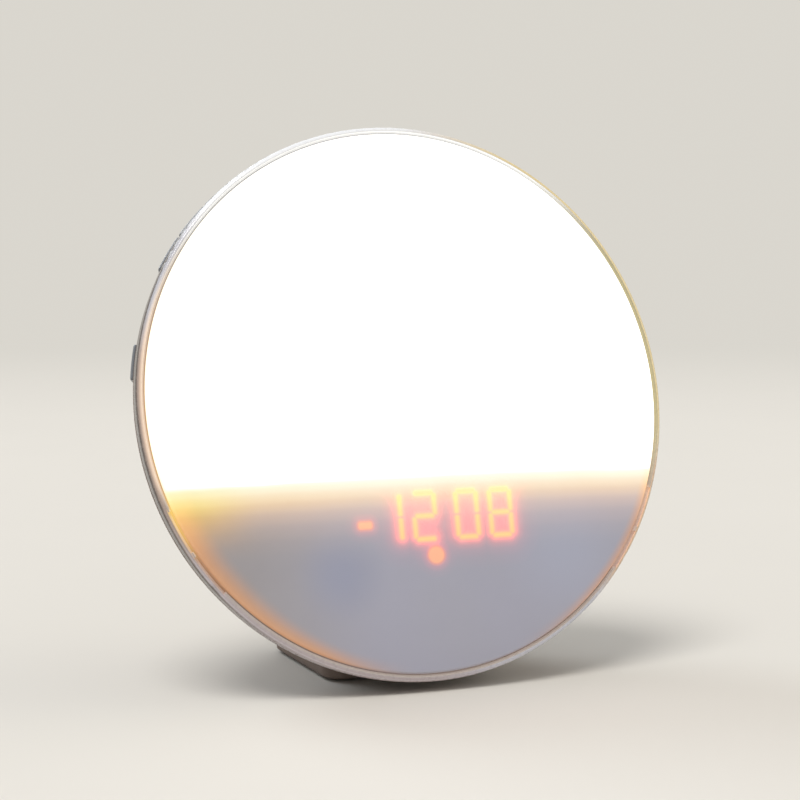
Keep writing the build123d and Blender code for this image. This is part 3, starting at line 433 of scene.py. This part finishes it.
def makeBoxGroup():
    # distance from a point to a flat box in the plane of the clock's face
    group = bpy.data.node_groups.new("clockBar", "ShaderNodeTree")
    for name in ("Point", "Centre", "Half"):
        group.interface.new_socket(name, in_out="INPUT", socket_type="NodeSocketVector")
    group.interface.new_socket("Distance", in_out="OUTPUT", socket_type="NodeSocketFloat")
    entry, leave = group.nodes.new("NodeGroupInput").outputs, group.nodes.new("NodeGroupOutput")

    def vector(operation, *values):
        return addNode(group, "ShaderNodeVectorMath", dict(enumerate(values)), operation=operation)

    shift = vector("SUBTRACT", entry["Point"], entry["Centre"])
    over = vector("SUBTRACT", vector("ABSOLUTE", shift.outputs[0]).outputs[0], entry["Half"])
    length = vector("LENGTH", vector("MAXIMUM", over.outputs[0], (0, 0, 0)).outputs[0])
    group.links.new(length.outputs["Value"], leave.inputs["Distance"])
    return group


def clockFace(tree, flat):
    # distances from the lit bars and marks, and the light of both
    group = makeBoxGroup()
    width, height = clock["bar"]
    end, row = clock["barEnd"], clock["row"]

    def boxDistance(centre, half):
        inputs = {"Point": flat, "Centre": (*centre, 0), "Half": (*half, 0)}
        return addNode(tree, "ShaderNodeGroup", inputs, node_tree=group).outputs["Distance"]

    bars, figures = [], []
    for place, keys in zip(clock["places"], clock["lit"]):
        for key in keys:
            side, rise, upright = barPlaces[key]
            half = (0, height / 4 - end) if upright else (width / 2 - end, 0)
            bars.append(boxDistance((place + side * width / 2, row + rise * height / 2), half))
        if keys == "bc":
            figures.append(boxDistance((place + width / 2, row), clock["oneHalf"]))
        else:
            figures.append(boxDistance((place, row), clock["figureHalf"]))
    digits = smallest(tree, *bars)
    dash = calc(tree, "SUBTRACT", boxDistance(clock["dash"], clock["dashHalf"]), clock["dashRound"])
    dot = calc(tree, "SUBTRACT", boxDistance(clock["dot"], (0, 0)), clock["dotRadius"])
    marks = smallest(tree, dash, dot)
    # the figures and the whole row fill with a softer red between their bars
    haze = fade(tree, smallest(tree, *figures), clockLight["hazeReach"], 0.0)
    wholeRow = boxDistance((clock["rowMiddle"], row), clock["rowHalf"])
    rowHaze = fade(tree, wholeRow, clockLight["rowReach"], 0.0)
    lights = [
        ramp(tree, product(tree, digits, 1 / clockLight["digitReach"]), clockLight["digit"]),
        blendColour(tree, haze, black, clockLight["haze"]),
        blendColour(tree, rowHaze, black, clockLight["row"]),
        ramp(tree, product(tree, marks, 1 / clockLight["markReach"]), clockLight["mark"])]
    return digits, marks, lights


# cloudy at random, with painted light: darker and warmer on the left, lighter and bluer on the right, and two
# bluish painted reflections
def opalBody(tree, point, x, flat):
    # cloudy, warmer on the left and cooler in places
    cloud = noiseOf(tree, point, opal["cloudScale"], 2.0)
    body = blendColour(tree, fade(tree, x, *opal["turn"]), opal["left"], opal["right"])
    body = blendColour(tree, fade(tree, cloud, 0.35, 0.65, 0.0, opal["cloudShare"]), body, opal["cloud"])
    # painted reflections: one darker and one lighter bluish patch
    for cx, cy, reach, tone in opal["spots"]:
        gap = addNode(tree, "ShaderNodeVectorMath", {0: flat, 1: (cx, cy, 0)}, operation="DISTANCE")
        paintedReflection = fade(tree, gap.outputs["Value"], reach, 1.0, 0.0, opal["paintedReflectionShare"])
        body = blendColour(tree, paintedReflection, body, tone)
    return body


def makeLensMaterial():
    material, tree, shader = newMaterial("opalLens", 0.22, Coat_Weight=0.25, Coat_Roughness=0.12, IOR=1.49)
    point, x, y, z, radius, angle = discAxes(tree)
    light, goldShare = lampGlow(tree, point, x, y, radius)
    leak, leakLight = rimLeak(tree, radius, angle, y)
    # the clock's light is seen a little to the left of the display, because the lens stands in front of it
    lift = calc(tree, "SUBTRACT", z, clock["face"])
    across, along = clock["slant"]
    flat = addNode(tree, "ShaderNodeCombineXYZ", {
        "X": calc(tree, "MULTIPLY_ADD", lift, across, x),
        "Y": calc(tree, "MULTIPLY_ADD", lift, along, y)}).outputs[0]
    digits, marks, clockLights = clockFace(tree, flat)
    for part in (*clockLights, leakLight):
        light = blendColour(tree, 1.0, light, part, "ADD")
    onBars = fade(tree, digits, *clockLight["brightFade"])
    light = blendColour(tree, onBars, light, clockLight["brightest"], "DARKEN")
    # the lens's own wall glows a little in the seam, more where it shows inside the ring's windows
    wall = fade(tree, z, *seamDepth)
    light = blendColour(tree, wall, light, seamLight(tree, angle))
    for start, end, tones in windows:
        opening = between(tree, angle, start - windowMargin, end + windowMargin, windowMargin)
        sunk = product(tree, wall, opening)
        light = blendColour(tree, sunk, light, ramp(tree, share(tree, angle, start, end), tones))
    tree.links.new(light, shader.inputs["Emission Color"])
    shader.inputs["Emission Strength"].default_value = 1.0
    body = opalBody(tree, point, x, flat)
    # painted glow in the body colour: warm where light leaks round the rim, near the clock's figures, and
    # golden on the left
    body = blendColour(tree, product(tree, leak, opal["paintedLeakShare"]), body, opal["leak"])
    nearest = smallest(tree, digits, marks)
    body = blendColour(tree, fade(tree, nearest, *opal["clockFade"]), body, opal["paintedClockGlow"])
    paintedGold = product(tree, goldShare, fade(tree, y, *opal["goldFade"]))
    body = blendColour(tree, paintedGold, body, opal["goldGlow"])
    tree.links.new(body, shader.inputs["Base Color"])
    grain = noiseOf(tree, point, opal["grainScale"], 4.0)
    tree.links.new(fade(tree, grain, 0.2, 0.8, *opal["polish"]), shader.inputs["Roughness"])
    return material


def mapLens(piece):
    # the dome fills the map, the hidden inside lies small in a corner
    layer = piece.data.uv_layers.new(name="OFBake")
    toDisc = fromDisc.inverted()
    (u, v), (backU, backV) = lensMap["middle"], lensMap["backMiddle"]
    for face in piece.data.polygons:
        inside = (toDisc.to_3x3() @ face.normal).normalized().z < lensMap["facing"]
        for loop in face.loop_indices:
            p = toDisc @ piece.data.vertices[piece.data.loops[loop].vertex_index].co
            if inside:
                layer.data[loop].uv = (backU + p.x * lensMap["backScale"], backV + p.y * lensMap["backScale"])
                continue
            onWall = hypot(p.x, p.y) > lensMap["wallFrom"]
            reach = 1.0 + lensMap["wallSpread"] * max(0.0, -p.z) if onWall else 1.0
            layer.data[loop].uv = (u + p.x * reach * lensMap["scale"], v + p.y * reach * lensMap["scale"])


def makeLens():
    values = {"Steps": lens["steps"], "Material": makeLensMaterial(), **onDisc}
    outline = outlineMesh("lensOutline", lensProfile())
    piece = growPiece("lensDome", outline, turningTree, values, bodyOf("front_lens"))
    mapLens(piece)
    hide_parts("front_lens")


makeLens()
print("lens made")


# front ring: satin pearl crest with painted highlight, reflections and shade by angle, painted shade on the
# left flank, and the lamp's light caught in its land and windows
ring = {
    # most tones here are painted light and shade: highlight, reflections, dusk and the dark flank
    "crest": (0.64, 0.62, 0.66), "bright": (0.86, 0.87, 0.89), "warm": (0.76, 0.61, 0.31),
    "paintedShade": (0.395, 0.305, 0.26), "low": (0.49, 0.42, 0.43), "lilac": (0.49, 0.49, 0.53),
    "pale": (0.60, 0.60, 0.68), "peach": (0.72, 0.50, 0.33), "flank": (0.125, 0.103, 0.091),
    "silver": (0.56, 0.55, 0.54), "seam": (0.42, 0.38, 0.35), "olive": (0.40, 0.35, 0.19),
    "land": (0.62, 0.62, 0.61),
    # start, end and softness in degrees, and the crest's tone there: a painted highlight at the upper left,
    # painted warm reflections on the right, painted shade at the bottom
    "arcs": ((82, 138, 8, "bright"), (142, 166, 5, "lilac"), (-18, 74, 16, "warm"), (-46, -14, 4, "peach"),
             (-88, -46, 8, "pale"), (-156, -82, 10, "low")),
    "paintedShadeTurns": ((158, 172), (-142, -154)), "highlightArc": (-154, -66, 8), "silverTurn": (52, 84),
    "shadeTurn": (112, 146), "landArc": (44, 150, 12), "oliveArc": (-14, 40, 12),
    "flakeScale": 0.7, "flakeShare": 0.3, "polish": (0.26, 0.30), "bump": 0.01, "edge": 0.0001}
# where one tone or painted light runs into the next, by radius or by height
ringFades = {"land": (83.9, 83.5), "inner": (83.75, 83.35), "glow": (84.6, 83.7), "highlightIn": (84.25, 84.5),
             "highlightOut": (84.8, 84.55), "flank": (-0.75, -1.35), "seam": (-0.45, -0.9),
             "windowIn": (84.1, 83.9), "windowDown": (-0.2, -0.35), "lampSide": (-8.0, 4.0)}
ringLight = {"land": (0.16, 0.15, 0.12), "top": (0.66, 0.66, 0.64), "warm": (0.66, 0.50, 0.32),
             "glow": (0.60, 0.44, 0.30), "glowShare": 0.8, "highlightShare": 0.5, "topArc": (50, 150, 14),
             "warmTurn": (140, 168), "seamArc": (-140, -15, 8), "windowSoft": 0.4}


def ringColour(tree, flake, z, radius, angle):
    sparkle = fade(tree, flake, 0.35, 0.65, 0.0, ring["flakeShare"])
    crest = blendColour(tree, sparkle, ring["crest"], ring["bright"])
    # painted highlight, reflections and shade on the crest, arc by arc
    for start, end, soft, tone in ring["arcs"]:
        crest = blendColour(tree, between(tree, angle, start, end, soft), crest, ring[tone])
    # painted shade: the crest darkens towards its left end
    paintedShade = calc(tree, "MAXIMUM", *(fadeTurn(tree, angle, *turn) for turn in ring["paintedShadeTurns"]))
    crest = blendColour(tree, paintedShade, crest, ring["paintedShade"])
    # a painted highlight: a lighter line along the crest on the lower part of the ring
    paintedHighlight = fade(tree, radius, *ringFades["highlightIn"])
    paintedHighlight = product(tree, paintedHighlight, fade(tree, radius, *ringFades["highlightOut"]))
    paintedHighlight = product(tree, paintedHighlight, between(tree, angle, *ring["highlightArc"]), ringLight["highlightShare"])
    crest = blendColour(tree, paintedHighlight, crest, ring["crest"])
    # painted light and shade on the flank: plain silver on the right, as light as the crest above and below,
    # and painted dark shade on the left
    side = calc(tree, "ABSOLUTE", angle)
    flank = blendColour(tree, fadeTurn(tree, side, *ring["silverTurn"]), ring["silver"], crest)
    flank = blendColour(tree, fadeTurn(tree, side, *ring["shadeTurn"]), flank, ring["flank"])
    colour = blendColour(tree, fade(tree, z, *ringFades["flank"]), crest, flank)
    # painted light on the land: pale at the top, a painted warm reflection in olive on the right, the darker
    # seam tone elsewhere
    land = blendColour(tree, between(tree, angle, *ring["landArc"]), ring["seam"], ring["land"])
    land = blendColour(tree, between(tree, angle, *ring["oliveArc"]), land, ring["olive"])
    return blendColour(tree, fade(tree, radius, *ringFades["land"]), colour, land)


def ringCaught(tree, y, z, radius, angle):
    # light caught on the land beside the lamp, a breath of it in the seam, amber in the windows
    inner = fade(tree, radius, *ringFades["inner"])
    start, end = ringFades["lampSide"]
    lampSide = fade(tree, y, lamp["edge"] + start, lamp["edge"] + end)
    warmth = fadeTurn(tree, calc(tree, "ABSOLUTE", angle), *ringLight["warmTurn"])
    tone = blendColour(tree, between(tree, angle, *ringLight["topArc"]), ringLight["land"], ringLight["top"])
    tone = blendColour(tree, warmth, tone, ringLight["warm"])
    caught = blendColour(tree, product(tree, inner, lampSide), black, tone)
    glow = product(tree, fade(tree, radius, *ringFades["glow"]), lampSide, warmth, ringLight["glowShare"])
    caught = blendColour(tree, glow, caught, ringLight["glow"])
    below = between(tree, angle, *ringLight["seamArc"])
    deep = calc(tree, "MAXIMUM", fade(tree, z, *ringFades["seam"]), below)
    caught = blendColour(tree, product(tree, inner, deep), caught, seamLight(tree, angle))
    for start, end, tones in windows:
        opening = between(tree, angle, start, end, ringLight["windowSoft"])
        opening = product(tree, opening, fade(tree, radius, *ringFades["windowIn"]),
                          fade(tree, z, *ringFades["windowDown"]))
        caught = blendColour(tree, opening, caught, ramp(tree, share(tree, angle, start, end), tones))
    return caught


def ringWithPaintedLight():
    # satin pearl base with painted light and shade, and caught lamp light as emission
    material, tree, shader = newMaterial("ringFinish", 0.24, Coat_Weight=0.4, Coat_Roughness=0.15)
    point, x, y, z, radius, angle = discAxes(tree)
    flake = noiseOf(tree, point, ring["flakeScale"], 3.0)
    tree.links.new(ringColour(tree, flake, z, radius, angle), shader.inputs["Base Color"])
    tree.links.new(ringCaught(tree, y, z, radius, angle), shader.inputs["Emission Color"])
    shader.inputs["Emission Strength"].default_value = 1.0
    addBump(tree, shader, flake, ring["bump"], bumpDepth, ring["edge"])
    tree.links.new(fade(tree, flake, 0.3, 0.7, *ring["polish"]), shader.inputs["Roughness"])
    return material


# plastics and metals for the pieces that keep their solids
finishes = {
    # housing: painted shade, coloured as dark as its shaded flank
    "housing": {"colour": (0.19, 0.145, 0.122), "tone": (0.215, 0.166, 0.14), "roughness": 0.56,
                "grain": 2600, "bump": 0.22, "sheen": 0.15},
    "key": {"colour": (0.20, 0.211, 0.23), "tone": (0.235, 0.247, 0.268), "roughness": 0.22,
            "grain": 2200, "bump": 0.12},
    "white": {"colour": (0.72, 0.72, 0.71), "tone": (0.78, 0.78, 0.77), "roughness": 0.45,
              "grain": 1500, "bump": 0.08},
    "black": {"colour": (0.012, 0.012, 0.013), "tone": (0.022, 0.022, 0.023), "roughness": 0.48,
              "grain": 1800, "bump": 0.12},
    "rubber": {"colour": (0.014, 0.014, 0.014), "tone": (0.026, 0.025, 0.025), "roughness": 0.85,
               "grain": 1400, "bump": 0.3},
    "foam": {"colour": (0.018, 0.018, 0.018), "tone": (0.04, 0.04, 0.04), "roughness": 0.95,
             "grain": 1100, "bump": 0.8},
    "greenBoard": {"colour": (0.010, 0.085, 0.035), "tone": (0.016, 0.12, 0.05), "roughness": 0.3,
                   "grain": 700, "bump": 0.05},
    "whiteBoard": {"colour": (0.70, 0.71, 0.69), "tone": (0.76, 0.77, 0.75), "roughness": 0.32,
                   "grain": 700, "bump": 0.04},
    "unlit": {"colour": (0.26, 0.25, 0.25), "tone": (0.31, 0.30, 0.30), "roughness": 0.35,
              "grain": 1500, "bump": 0.05},
    "paper": {"colour": (0.018, 0.016, 0.016), "tone": (0.035, 0.032, 0.031), "roughness": 0.9,
              "grain": 900, "bump": 0.5},
    "ferrite": {"colour": (0.02, 0.02, 0.022), "tone": (0.045, 0.045, 0.048), "roughness": 0.6,
                "grain": 1300, "bump": 0.25},
}
metals = {
    "steel": {"colour": (0.46, 0.46, 0.47), "tone": (0.60, 0.60, 0.61), "roughness": 0.32},
    "nickel": {"colour": (0.62, 0.61, 0.59), "tone": (0.72, 0.71, 0.69), "roughness": 0.24},
    "spring": {"colour": (0.62, 0.54, 0.36), "tone": (0.74, 0.66, 0.46), "roughness": 0.3},
}
plastic = {"mottle": 35.0, "fleck": 0.4, "fleckTone": 0.9, "fleckShare": 0.35, "uneven": 0.05,
           "edge": 0.00025, "sheen": 0.5}    # fleck is a share of the grain's scale
plating = {"wear": 320.0, "smoother": 0.08, "rougher": 0.1, "brush": 900.0, "bump": 0.08}
filler = {"speck": 1200.0, "bright": 1.15, "bump": 0.05}


def mouldedPlastic(name):
    look = finishes[name]
    material, tree, shader = newMaterial(name + "Finish", look["roughness"])
    point = objectPoint(tree)
    mottle = noiseOf(tree, point, plastic["mottle"], 3.0)
    fleck = noiseOf(tree, point, look["grain"] * plastic["fleck"], 2.0)
    colour = blendColour(tree, fade(tree, mottle, 0.3, 0.7), look["colour"], look["tone"])
    darker = tuple(c * plastic["fleckTone"] for c in look["colour"])
    colour = blendColour(tree, fade(tree, fleck, 0.62, 0.75, 0.0, plastic["fleckShare"]), colour, darker)
    tree.links.new(colour, shader.inputs["Base Color"])
    grain = noiseOf(tree, point, look["grain"], 2.0, 0.6)
    addBump(tree, shader, grain, look["bump"], bumpDepth, plastic["edge"])
    shader.inputs["Specular IOR Level"].default_value = look.get("sheen", plastic["sheen"])
    rough, uneven = look["roughness"], plastic["uneven"]
    tree.links.new(fade(tree, mottle, 0.25, 0.75, rough - uneven, rough + uneven), shader.inputs["Roughness"])
    return material


def platedMetal(name):
    look = metals[name]
    material, tree, shader = newMaterial(name + "Finish", look["roughness"], 1.0)
    worn = noiseOf(tree, objectPoint(tree), plating["wear"], 4.0, 0.6)
    colour = blendColour(tree, fade(tree, worn, 0.3, 0.7), look["colour"], look["tone"])
    tree.links.new(colour, shader.inputs["Base Color"])
    low, high = look["roughness"] - plating["smoother"], look["roughness"] + plating["rougher"]
    tree.links.new(fade(tree, worn, 0.3, 0.7, low, high), shader.inputs["Roughness"])
    brushed = noiseOf(tree, objectPoint(tree, (1, 1, 8)), plating["brush"], 2.0)
    addBump(tree, shader, brushed, plating["bump"], bumpDepth)
    return material


def litBars():
    material, tree, shader = newMaterial("litBars", 0.4)
    z = addNode(tree, "ShaderNodeSeparateXYZ", {"Vector": discPoint(tree)}).outputs["Z"]
    colour = ramp(tree, fade(tree, z, -4.0, 1.0), [(0.0, (0.5, 0.02, 0.0)), (1.0, (1.0, 0.10, 0.02))])
    tree.links.new(colour, shader.inputs["Base Color"])
    tree.links.new(colour, shader.inputs["Emission Color"])
    shader.inputs["Emission Strength"].default_value = 1.0
    return material


def ledFinish(name, tint):
    material, tree, shader = newMaterial(name, 0.35)
    speck = noiseOf(tree, objectPoint(tree), filler["speck"], 2.0)
    brighter = tuple(min(1.0, c * filler["bright"]) for c in tint)
    colour = blendColour(tree, fade(tree, speck, 0.35, 0.65), tint, brighter)
    tree.links.new(colour, shader.inputs["Base Color"])
    addBump(tree, shader, speck, filler["bump"], bumpDepth)
    return material


paint = {
    "ring": ["front_ring"], "lit": ["lit_segments", "status_lights"], "unlit": ["dark_segments"],
    "housing": ["rear_housing", "foot", "battery_door"], "white": ["lamp_tray", "lead_headers"],
    "foam": ["light_seal", "speaker_gasket"], "rubber": ["speaker_surround", "foot_pad"],
    "whiteBoard": ["lamp_board"],
    "greenBoard": ["main_board", "display_board", "key_board_left", "key_board_right"],
    "black": ["display_block", "speaker_basket", "power_jack", "key_switches_left", "key_switches_right",
              "board_chips"],
    "paper": ["speaker_cone"], "ferrite": ["speaker_magnet"], "steel": ["speaker_yoke"],
    "nickel": ["board_capacitors", "coin_cell"],
    "spring": ["header_pins", "cell_contact_minus", "cell_contact_plus", "power_jack_pin"],
    "key": [],
}
for side in ("left", "right"):
    for number in range(1, 5):
        paint["key"].append(f"key_{side}_{number}")
        paint["white"].append(f"plunger_{side}_{number}")

made = {"ring": ringWithPaintedLight(), "lit": litBars()}
for name in finishes:
    made[name] = mouldedPlastic(name)
for name in metals:
    made[name] = platedMetal(name)
for name, painted in paint.items():
    for node in painted:
        nodes[node].data.materials.clear()
        nodes[node].data.materials.append(made[name])
print("finishes given")


# screws: a pan head with a cross in it, above a shank with a pointed end, as shares of their own sizes
screws = {"steps": 40, "slotWidth": 0.34, "slotLength": 1.25, "slotDepth": 0.55, "tip": 0.25,
          "head": ((0.0, 1.0), (0.5, 1.0), (0.78, 0.88), (0.95, 0.62), (1.0, 0.3), (1.0, 0.0))}
bigScrew = {"head": (2.9, 2.0), "shank": 1.5, "length": 10.0}
smallScrew = {"head": (2.2, 1.4), "shank": 1.0, "length": 6.0}
shortScrew = {"head": (2.2, 1.4), "shank": 1.0, "length": 3.0}


def onCircle(radius, angles):
    return [(radius * cos(radians(a)), radius * sin(radians(a))) for a in angles]


def corners(pitch, middle=(0.0, 0.0)):
    return [(middle[0] + a * pitch[0] / 2, middle[1] + b * pitch[1] / 2) for a in (-1, 1) for b in (-1, 1)]


# node, size, frame, and rows of (places, height of the seat, whether the head points down)
screwSets = {
    "housingScrews": ("housing_screws", bigScrew, onDisc, [(onCircle(66.0, (90, 202, 338)), -22.5, True)]),
    "footScrews": ("foot_screws", bigScrew, onTable, [(((-16, -15), (16, -15), (-2, 3)), 3.6, True)]),
    "speakerScrews": ("speaker_screws", shortScrew, onDisc, [
        (onCircle(22.6, (45, 135, 225, 315)), -49.24, False)]),
    "boardScrews": ("board_screws", smallScrew, onDisc, [
        (((-42, 8), (42, 8), (0, 48), (0, -17)), -15.4, False),
        (corners((59.6, 20.0), (4.25, -40.8)), -5.4, False),
        (corners((70.0, 42.0)), -26.6, True),
        (onCircle(68.5, (19, 161, 60.5, 119.5)), -19.0, True)]),
}


def screwOutline(size):
    (radius, height), shank, length = size["head"], size["shank"], size["length"]
    head = [(r * radius, z * height) for r, z in screws["head"]]
    return [*head, (shank, 0.0), (shank, shank - length), (screws["tip"] * shank, -length), (0.0, -length)]


def makeScrewTree():
    # one turned screw with its cross cut, set on every point that stands for a screw
    tree, entry, leave = newTree("crossScrews", [
        ("Points", "Object", None), ("Steps", "Int", screws["steps"]), ("Head Radius", "Float", 2.0),
        ("Head Height", "Float", 1.4), ("Slot Width", "Float", screws["slotWidth"]),
        ("Slot Length", "Float", screws["slotLength"]), ("Slot Depth", "Float", screws["slotDepth"]),
        ("Material", "Material", None)])
    blank = addNode(tree, "GeometryNodeGroup", {
        "Geometry": entry["Geometry"], "Steps": entry["Steps"], "Material": entry["Material"],
        "Scale": (1.0, 1.0, 1.0)}, node_tree=turningTree)
    width = product(tree, entry["Slot Width"], entry["Head Radius"])
    length = product(tree, entry["Slot Length"], entry["Head Radius"])
    depth = product(tree, entry["Slot Depth"], entry["Head Height"], 2.0)
    bars = addNode(tree, "GeometryNodeJoinGeometry")
    for across, along in ((length, width), (width, length)):
        size = addNode(tree, "ShaderNodeCombineXYZ", {"X": across, "Y": along, "Z": depth})
        bar = addNode(tree, "GeometryNodeMeshCube", {"Size": size.outputs[0]})
        tree.links.new(lifted(tree, bar, entry["Head Height"]).outputs[0], bars.inputs[0])
    cut = cutAway(tree, blank, bars, crossing=True)
    places = addNode(tree, "GeometryNodeObjectInfo", {"Object": entry["Points"]})
    flip = addNode(tree, "GeometryNodeInputNamedAttribute", {"Name": "flip"}, data_type="FLOAT")
    turn = addNode(tree, "ShaderNodeCombineXYZ", {"X": product(tree, flip.outputs[0], pi)})
    spread = addNode(tree, "GeometryNodeInstanceOnPoints", {
        "Points": places.outputs["Geometry"], "Instance": cut.outputs[0], "Rotation": turn.outputs[0]})
    return endTree(tree, entry, leave, spread, dress=True)


screwTree = makeScrewTree()


def makeScrews(name, node, size, frameOf, rows):
    places = [(x, y, seat, float(down)) for spots, seat, down in rows for x, y in spots]
    points = pointMesh(name + "Points", [place[:3] for place in places])
    layer = points.attributes.new("flip", "FLOAT", "POINT")
    layer.data.foreach_set("value", [place[3] for place in places])
    holder = bpy.data.objects.new(name + "Points", points)
    values = {"Points": holder, "Steps": screws["steps"], "Head Radius": size["head"][0],
              "Head Height": size["head"][1], "Slot Width": screws["slotWidth"],
              "Slot Length": screws["slotLength"], "Slot Depth": screws["slotDepth"],
              "Material": made["steel"], **frameOf}
    outline = outlineMesh(name + "Outline", screwOutline(size))
    piece = growPiece(name, outline, screwTree, values, bodyOf(node))
    bpy.data.objects.remove(holder)
    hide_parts(node)


for name, screwSet in screwSets.items():
    makeScrews(name, *screwSet)
print("screws set")


# LEDs on the lamp board: a white package with a round well and a domed filling
leds = {"rim": 0.86, "sunk": 0.22, "sides": 32, "rings": 10, "dome": (0.98, 0.98, 0.11)}
ledSets = {
    "whiteLeds": {"node": "white_leds", "width": 5.0, "height": 1.6,
                  "filling": ("phosphor", (0.80, 0.68, 0.20))},
    "colourLeds": {"node": "colour_leds", "width": 3.5, "height": 1.4,
                   "filling": ("clearWell", (0.62, 0.64, 0.66))},
}


def solidMiddles(node):
    # middle of every separate solid of a node, in the disc's millimetres
    bm = bmesh.new()
    bm.from_mesh(nodes[node].data)
    bmesh.ops.remove_doubles(bm, verts=bm.verts, dist=1e-6)
    toDisc = fromDisc.inverted()
    seen, middles = set(), []
    for first in bm.verts:
        if first.index in seen:
            continue
        stack, members = [first], []
        seen.add(first.index)
        while stack:
            vertex = stack.pop()
            members.append(toDisc @ vertex.co)
            for edge in vertex.link_edges:
                other = edge.other_vert(vertex)
                if other.index not in seen:
                    seen.add(other.index)
                    stack.append(other)
        middles.append(tuple((min(p[k] for p in members) + max(p[k] for p in members)) / 2 for k in range(3)))
    bm.free()
    return middles


def makeLedTree():
    # a package with its well and filling, set on every point
    tree, entry, leave = newTree("ledPackages", [
        ("Width", "Float", 5.0), ("Height", "Float", 1.6), ("Rim", "Float", leds["rim"]),
        ("Sunk", "Float", leds["sunk"]),
        ("Package", "Material", None), ("Filling", "Material", None)])
    sides = {"X": entry["Width"], "Y": entry["Width"], "Z": entry["Height"]}
    box = addNode(tree, "ShaderNodeCombineXYZ", sides).outputs[0]
    body = addNode(tree, "GeometryNodeMeshCube", {"Size": box})
    radius = product(tree, entry["Width"], 0.5, entry["Rim"])
    half = product(tree, entry["Height"], 0.5)
    well = addNode(tree, "GeometryNodeMeshCylinder", {
        "Vertices": leds["sides"], "Radius": radius, "Depth": product(tree, entry["Sunk"], 2.0)})
    cut = cutAway(tree, body, lifted(tree, well, half))
    ball = addNode(tree, "GeometryNodeMeshUVSphere", {
        "Segments": leds["sides"], "Rings": leds["rings"], "Radius": radius})
    flat = addNode(tree, "GeometryNodeTransform", {"Geometry": ball.outputs[0], "Scale": leds["dome"]})
    filling = lifted(tree, flat, calc(tree, "SUBTRACT", half, entry["Sunk"]))
    both = addNode(tree, "GeometryNodeJoinGeometry")
    for shape, finish in ((cut, "Package"), (filling, "Filling")):
        dressed = addNode(tree, "GeometryNodeSetMaterial", {
            "Geometry": shape.outputs[0], "Material": entry[finish]})
        tree.links.new(dressed.outputs[0], both.inputs[0])
    spread = addNode(tree, "GeometryNodeInstanceOnPoints", {
        "Points": entry["Geometry"], "Instance": both.outputs[0]})
    return endTree(tree, entry, leave, spread)


ledTree = makeLedTree()
for name, led in ledSets.items():
    values = {"Width": led["width"], "Height": led["height"], "Rim": leds["rim"], "Sunk": leds["sunk"],
              "Package": made["white"], "Filling": ledFinish(*led["filling"]), **onDisc}
    points = pointMesh(name + "Points", solidMiddles(led["node"]))
    piece = growPiece(name, points, ledTree, values, bodyOf(led["node"]))
    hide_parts(led["node"])
print("LEDs set")


# floor and light
studio = {"floor": (0.66, 0.63, 0.575), "sky": (0.70, 0.675, 0.62), "fill": 0.46,
          "fillTint": (0.98, 0.98, 1.0), "size": 7.0, "fadeFrom": 0.5, "fadeTo": 2.2,
          "patches": 6.0, "paler": 1.03}
suns = {
    "keySun": {"from": (-0.35, -0.35, 1.0), "spread": 28.0, "strength": 1.8, "colour": (1.0, 0.99, 0.98)},
    "sideSun": {"from": (0.9, -0.25, 0.35), "spread": 40.0, "strength": 0.5, "colour": (1.0, 0.92, 0.76)},
    "backSun": {"from": (-0.50, 0.75, 0.75), "spread": 30.0, "strength": 1.0, "colour": (0.86, 0.93, 1.0)},
}


def makeFloor():
    size = studio["size"]
    mesh = bpy.data.meshes.new("floor")
    outline = [(-size, -size, 0), (size, -size, 0), (size, size, 0), (-size, size, 0)]
    mesh.from_pydata(outline, [], [(0, 1, 2, 3)])
    material, tree, shader = newMaterial("paleFloor", 0.75)
    point = objectPoint(tree)
    patch = noiseOf(tree, point, studio["patches"], 2.0)
    paler = tuple(c * studio["paler"] for c in studio["floor"])
    tree.links.new(blendColour(tree, patch, studio["floor"], paler), shader.inputs["Base Color"])
    # far from the object the floor runs into the plain background
    reach = addNode(tree, "ShaderNodeVectorMath", {0: point}, operation="LENGTH").outputs["Value"]
    plain = addNode(tree, "ShaderNodeEmission", {"Color": (*studio["sky"], 1.0), "Strength": 1.0})
    far = fade(tree, reach, studio["fadeFrom"], studio["fadeTo"])
    mix = addNode(tree, "ShaderNodeMixShader", {0: far, 1: shader.outputs[0], 2: plain.outputs[0]})
    tree.links.new(mix.outputs[0], tree.nodes["Material Output"].inputs["Surface"])
    mesh.materials.append(material)
    floor = bpy.data.objects.new("floor", mesh)
    bpy.context.scene.collection.objects.link(floor)


def makeSuns():
    for name, sun in suns.items():
        data = bpy.data.lights.new(name, "SUN")
        data.energy, data.angle, data.color = sun["strength"], radians(sun["spread"]), sun["colour"]
        light = bpy.data.objects.new(name, data)
        bpy.context.scene.collection.objects.link(light)
        aim = -Vector(sun["from"])
        light.matrix_world = aim.to_track_quat("-Z", "Y").to_matrix().to_4x4()


def makeWorld():
    # the camera and reflections see the plain background, all else gets the dimmer fill
    world = bpy.data.worlds.new("world")
    world.use_nodes = True
    tree = world.node_tree
    ambient = tree.nodes["Background"]
    ambient.inputs["Color"].default_value = (*studio["fillTint"], 1.0)
    ambient.inputs["Strength"].default_value = studio["fill"]
    seen = addNode(tree, "ShaderNodeBackground", {"Color": (*studio["sky"], 1.0), "Strength": 1.0})
    ray = addNode(tree, "ShaderNodeLightPath").outputs
    passing = calc(tree, "MAXIMUM", ray["Is Glossy Ray"], ray["Is Transmission Ray"])
    mix = addNode(tree, "ShaderNodeMixShader", {
        0: calc(tree, "MAXIMUM", ray["Is Camera Ray"], passing), 1: ambient.outputs[0], 2: seen.outputs[0]})
    tree.links.new(mix.outputs[0], tree.nodes["World Output"].inputs["Surface"])
    bpy.context.scene.world = world


makeFloor()
makeSuns()
makeWorld()
bpy.context.scene.view_settings.view_transform = "Standard"
print("studio lit")
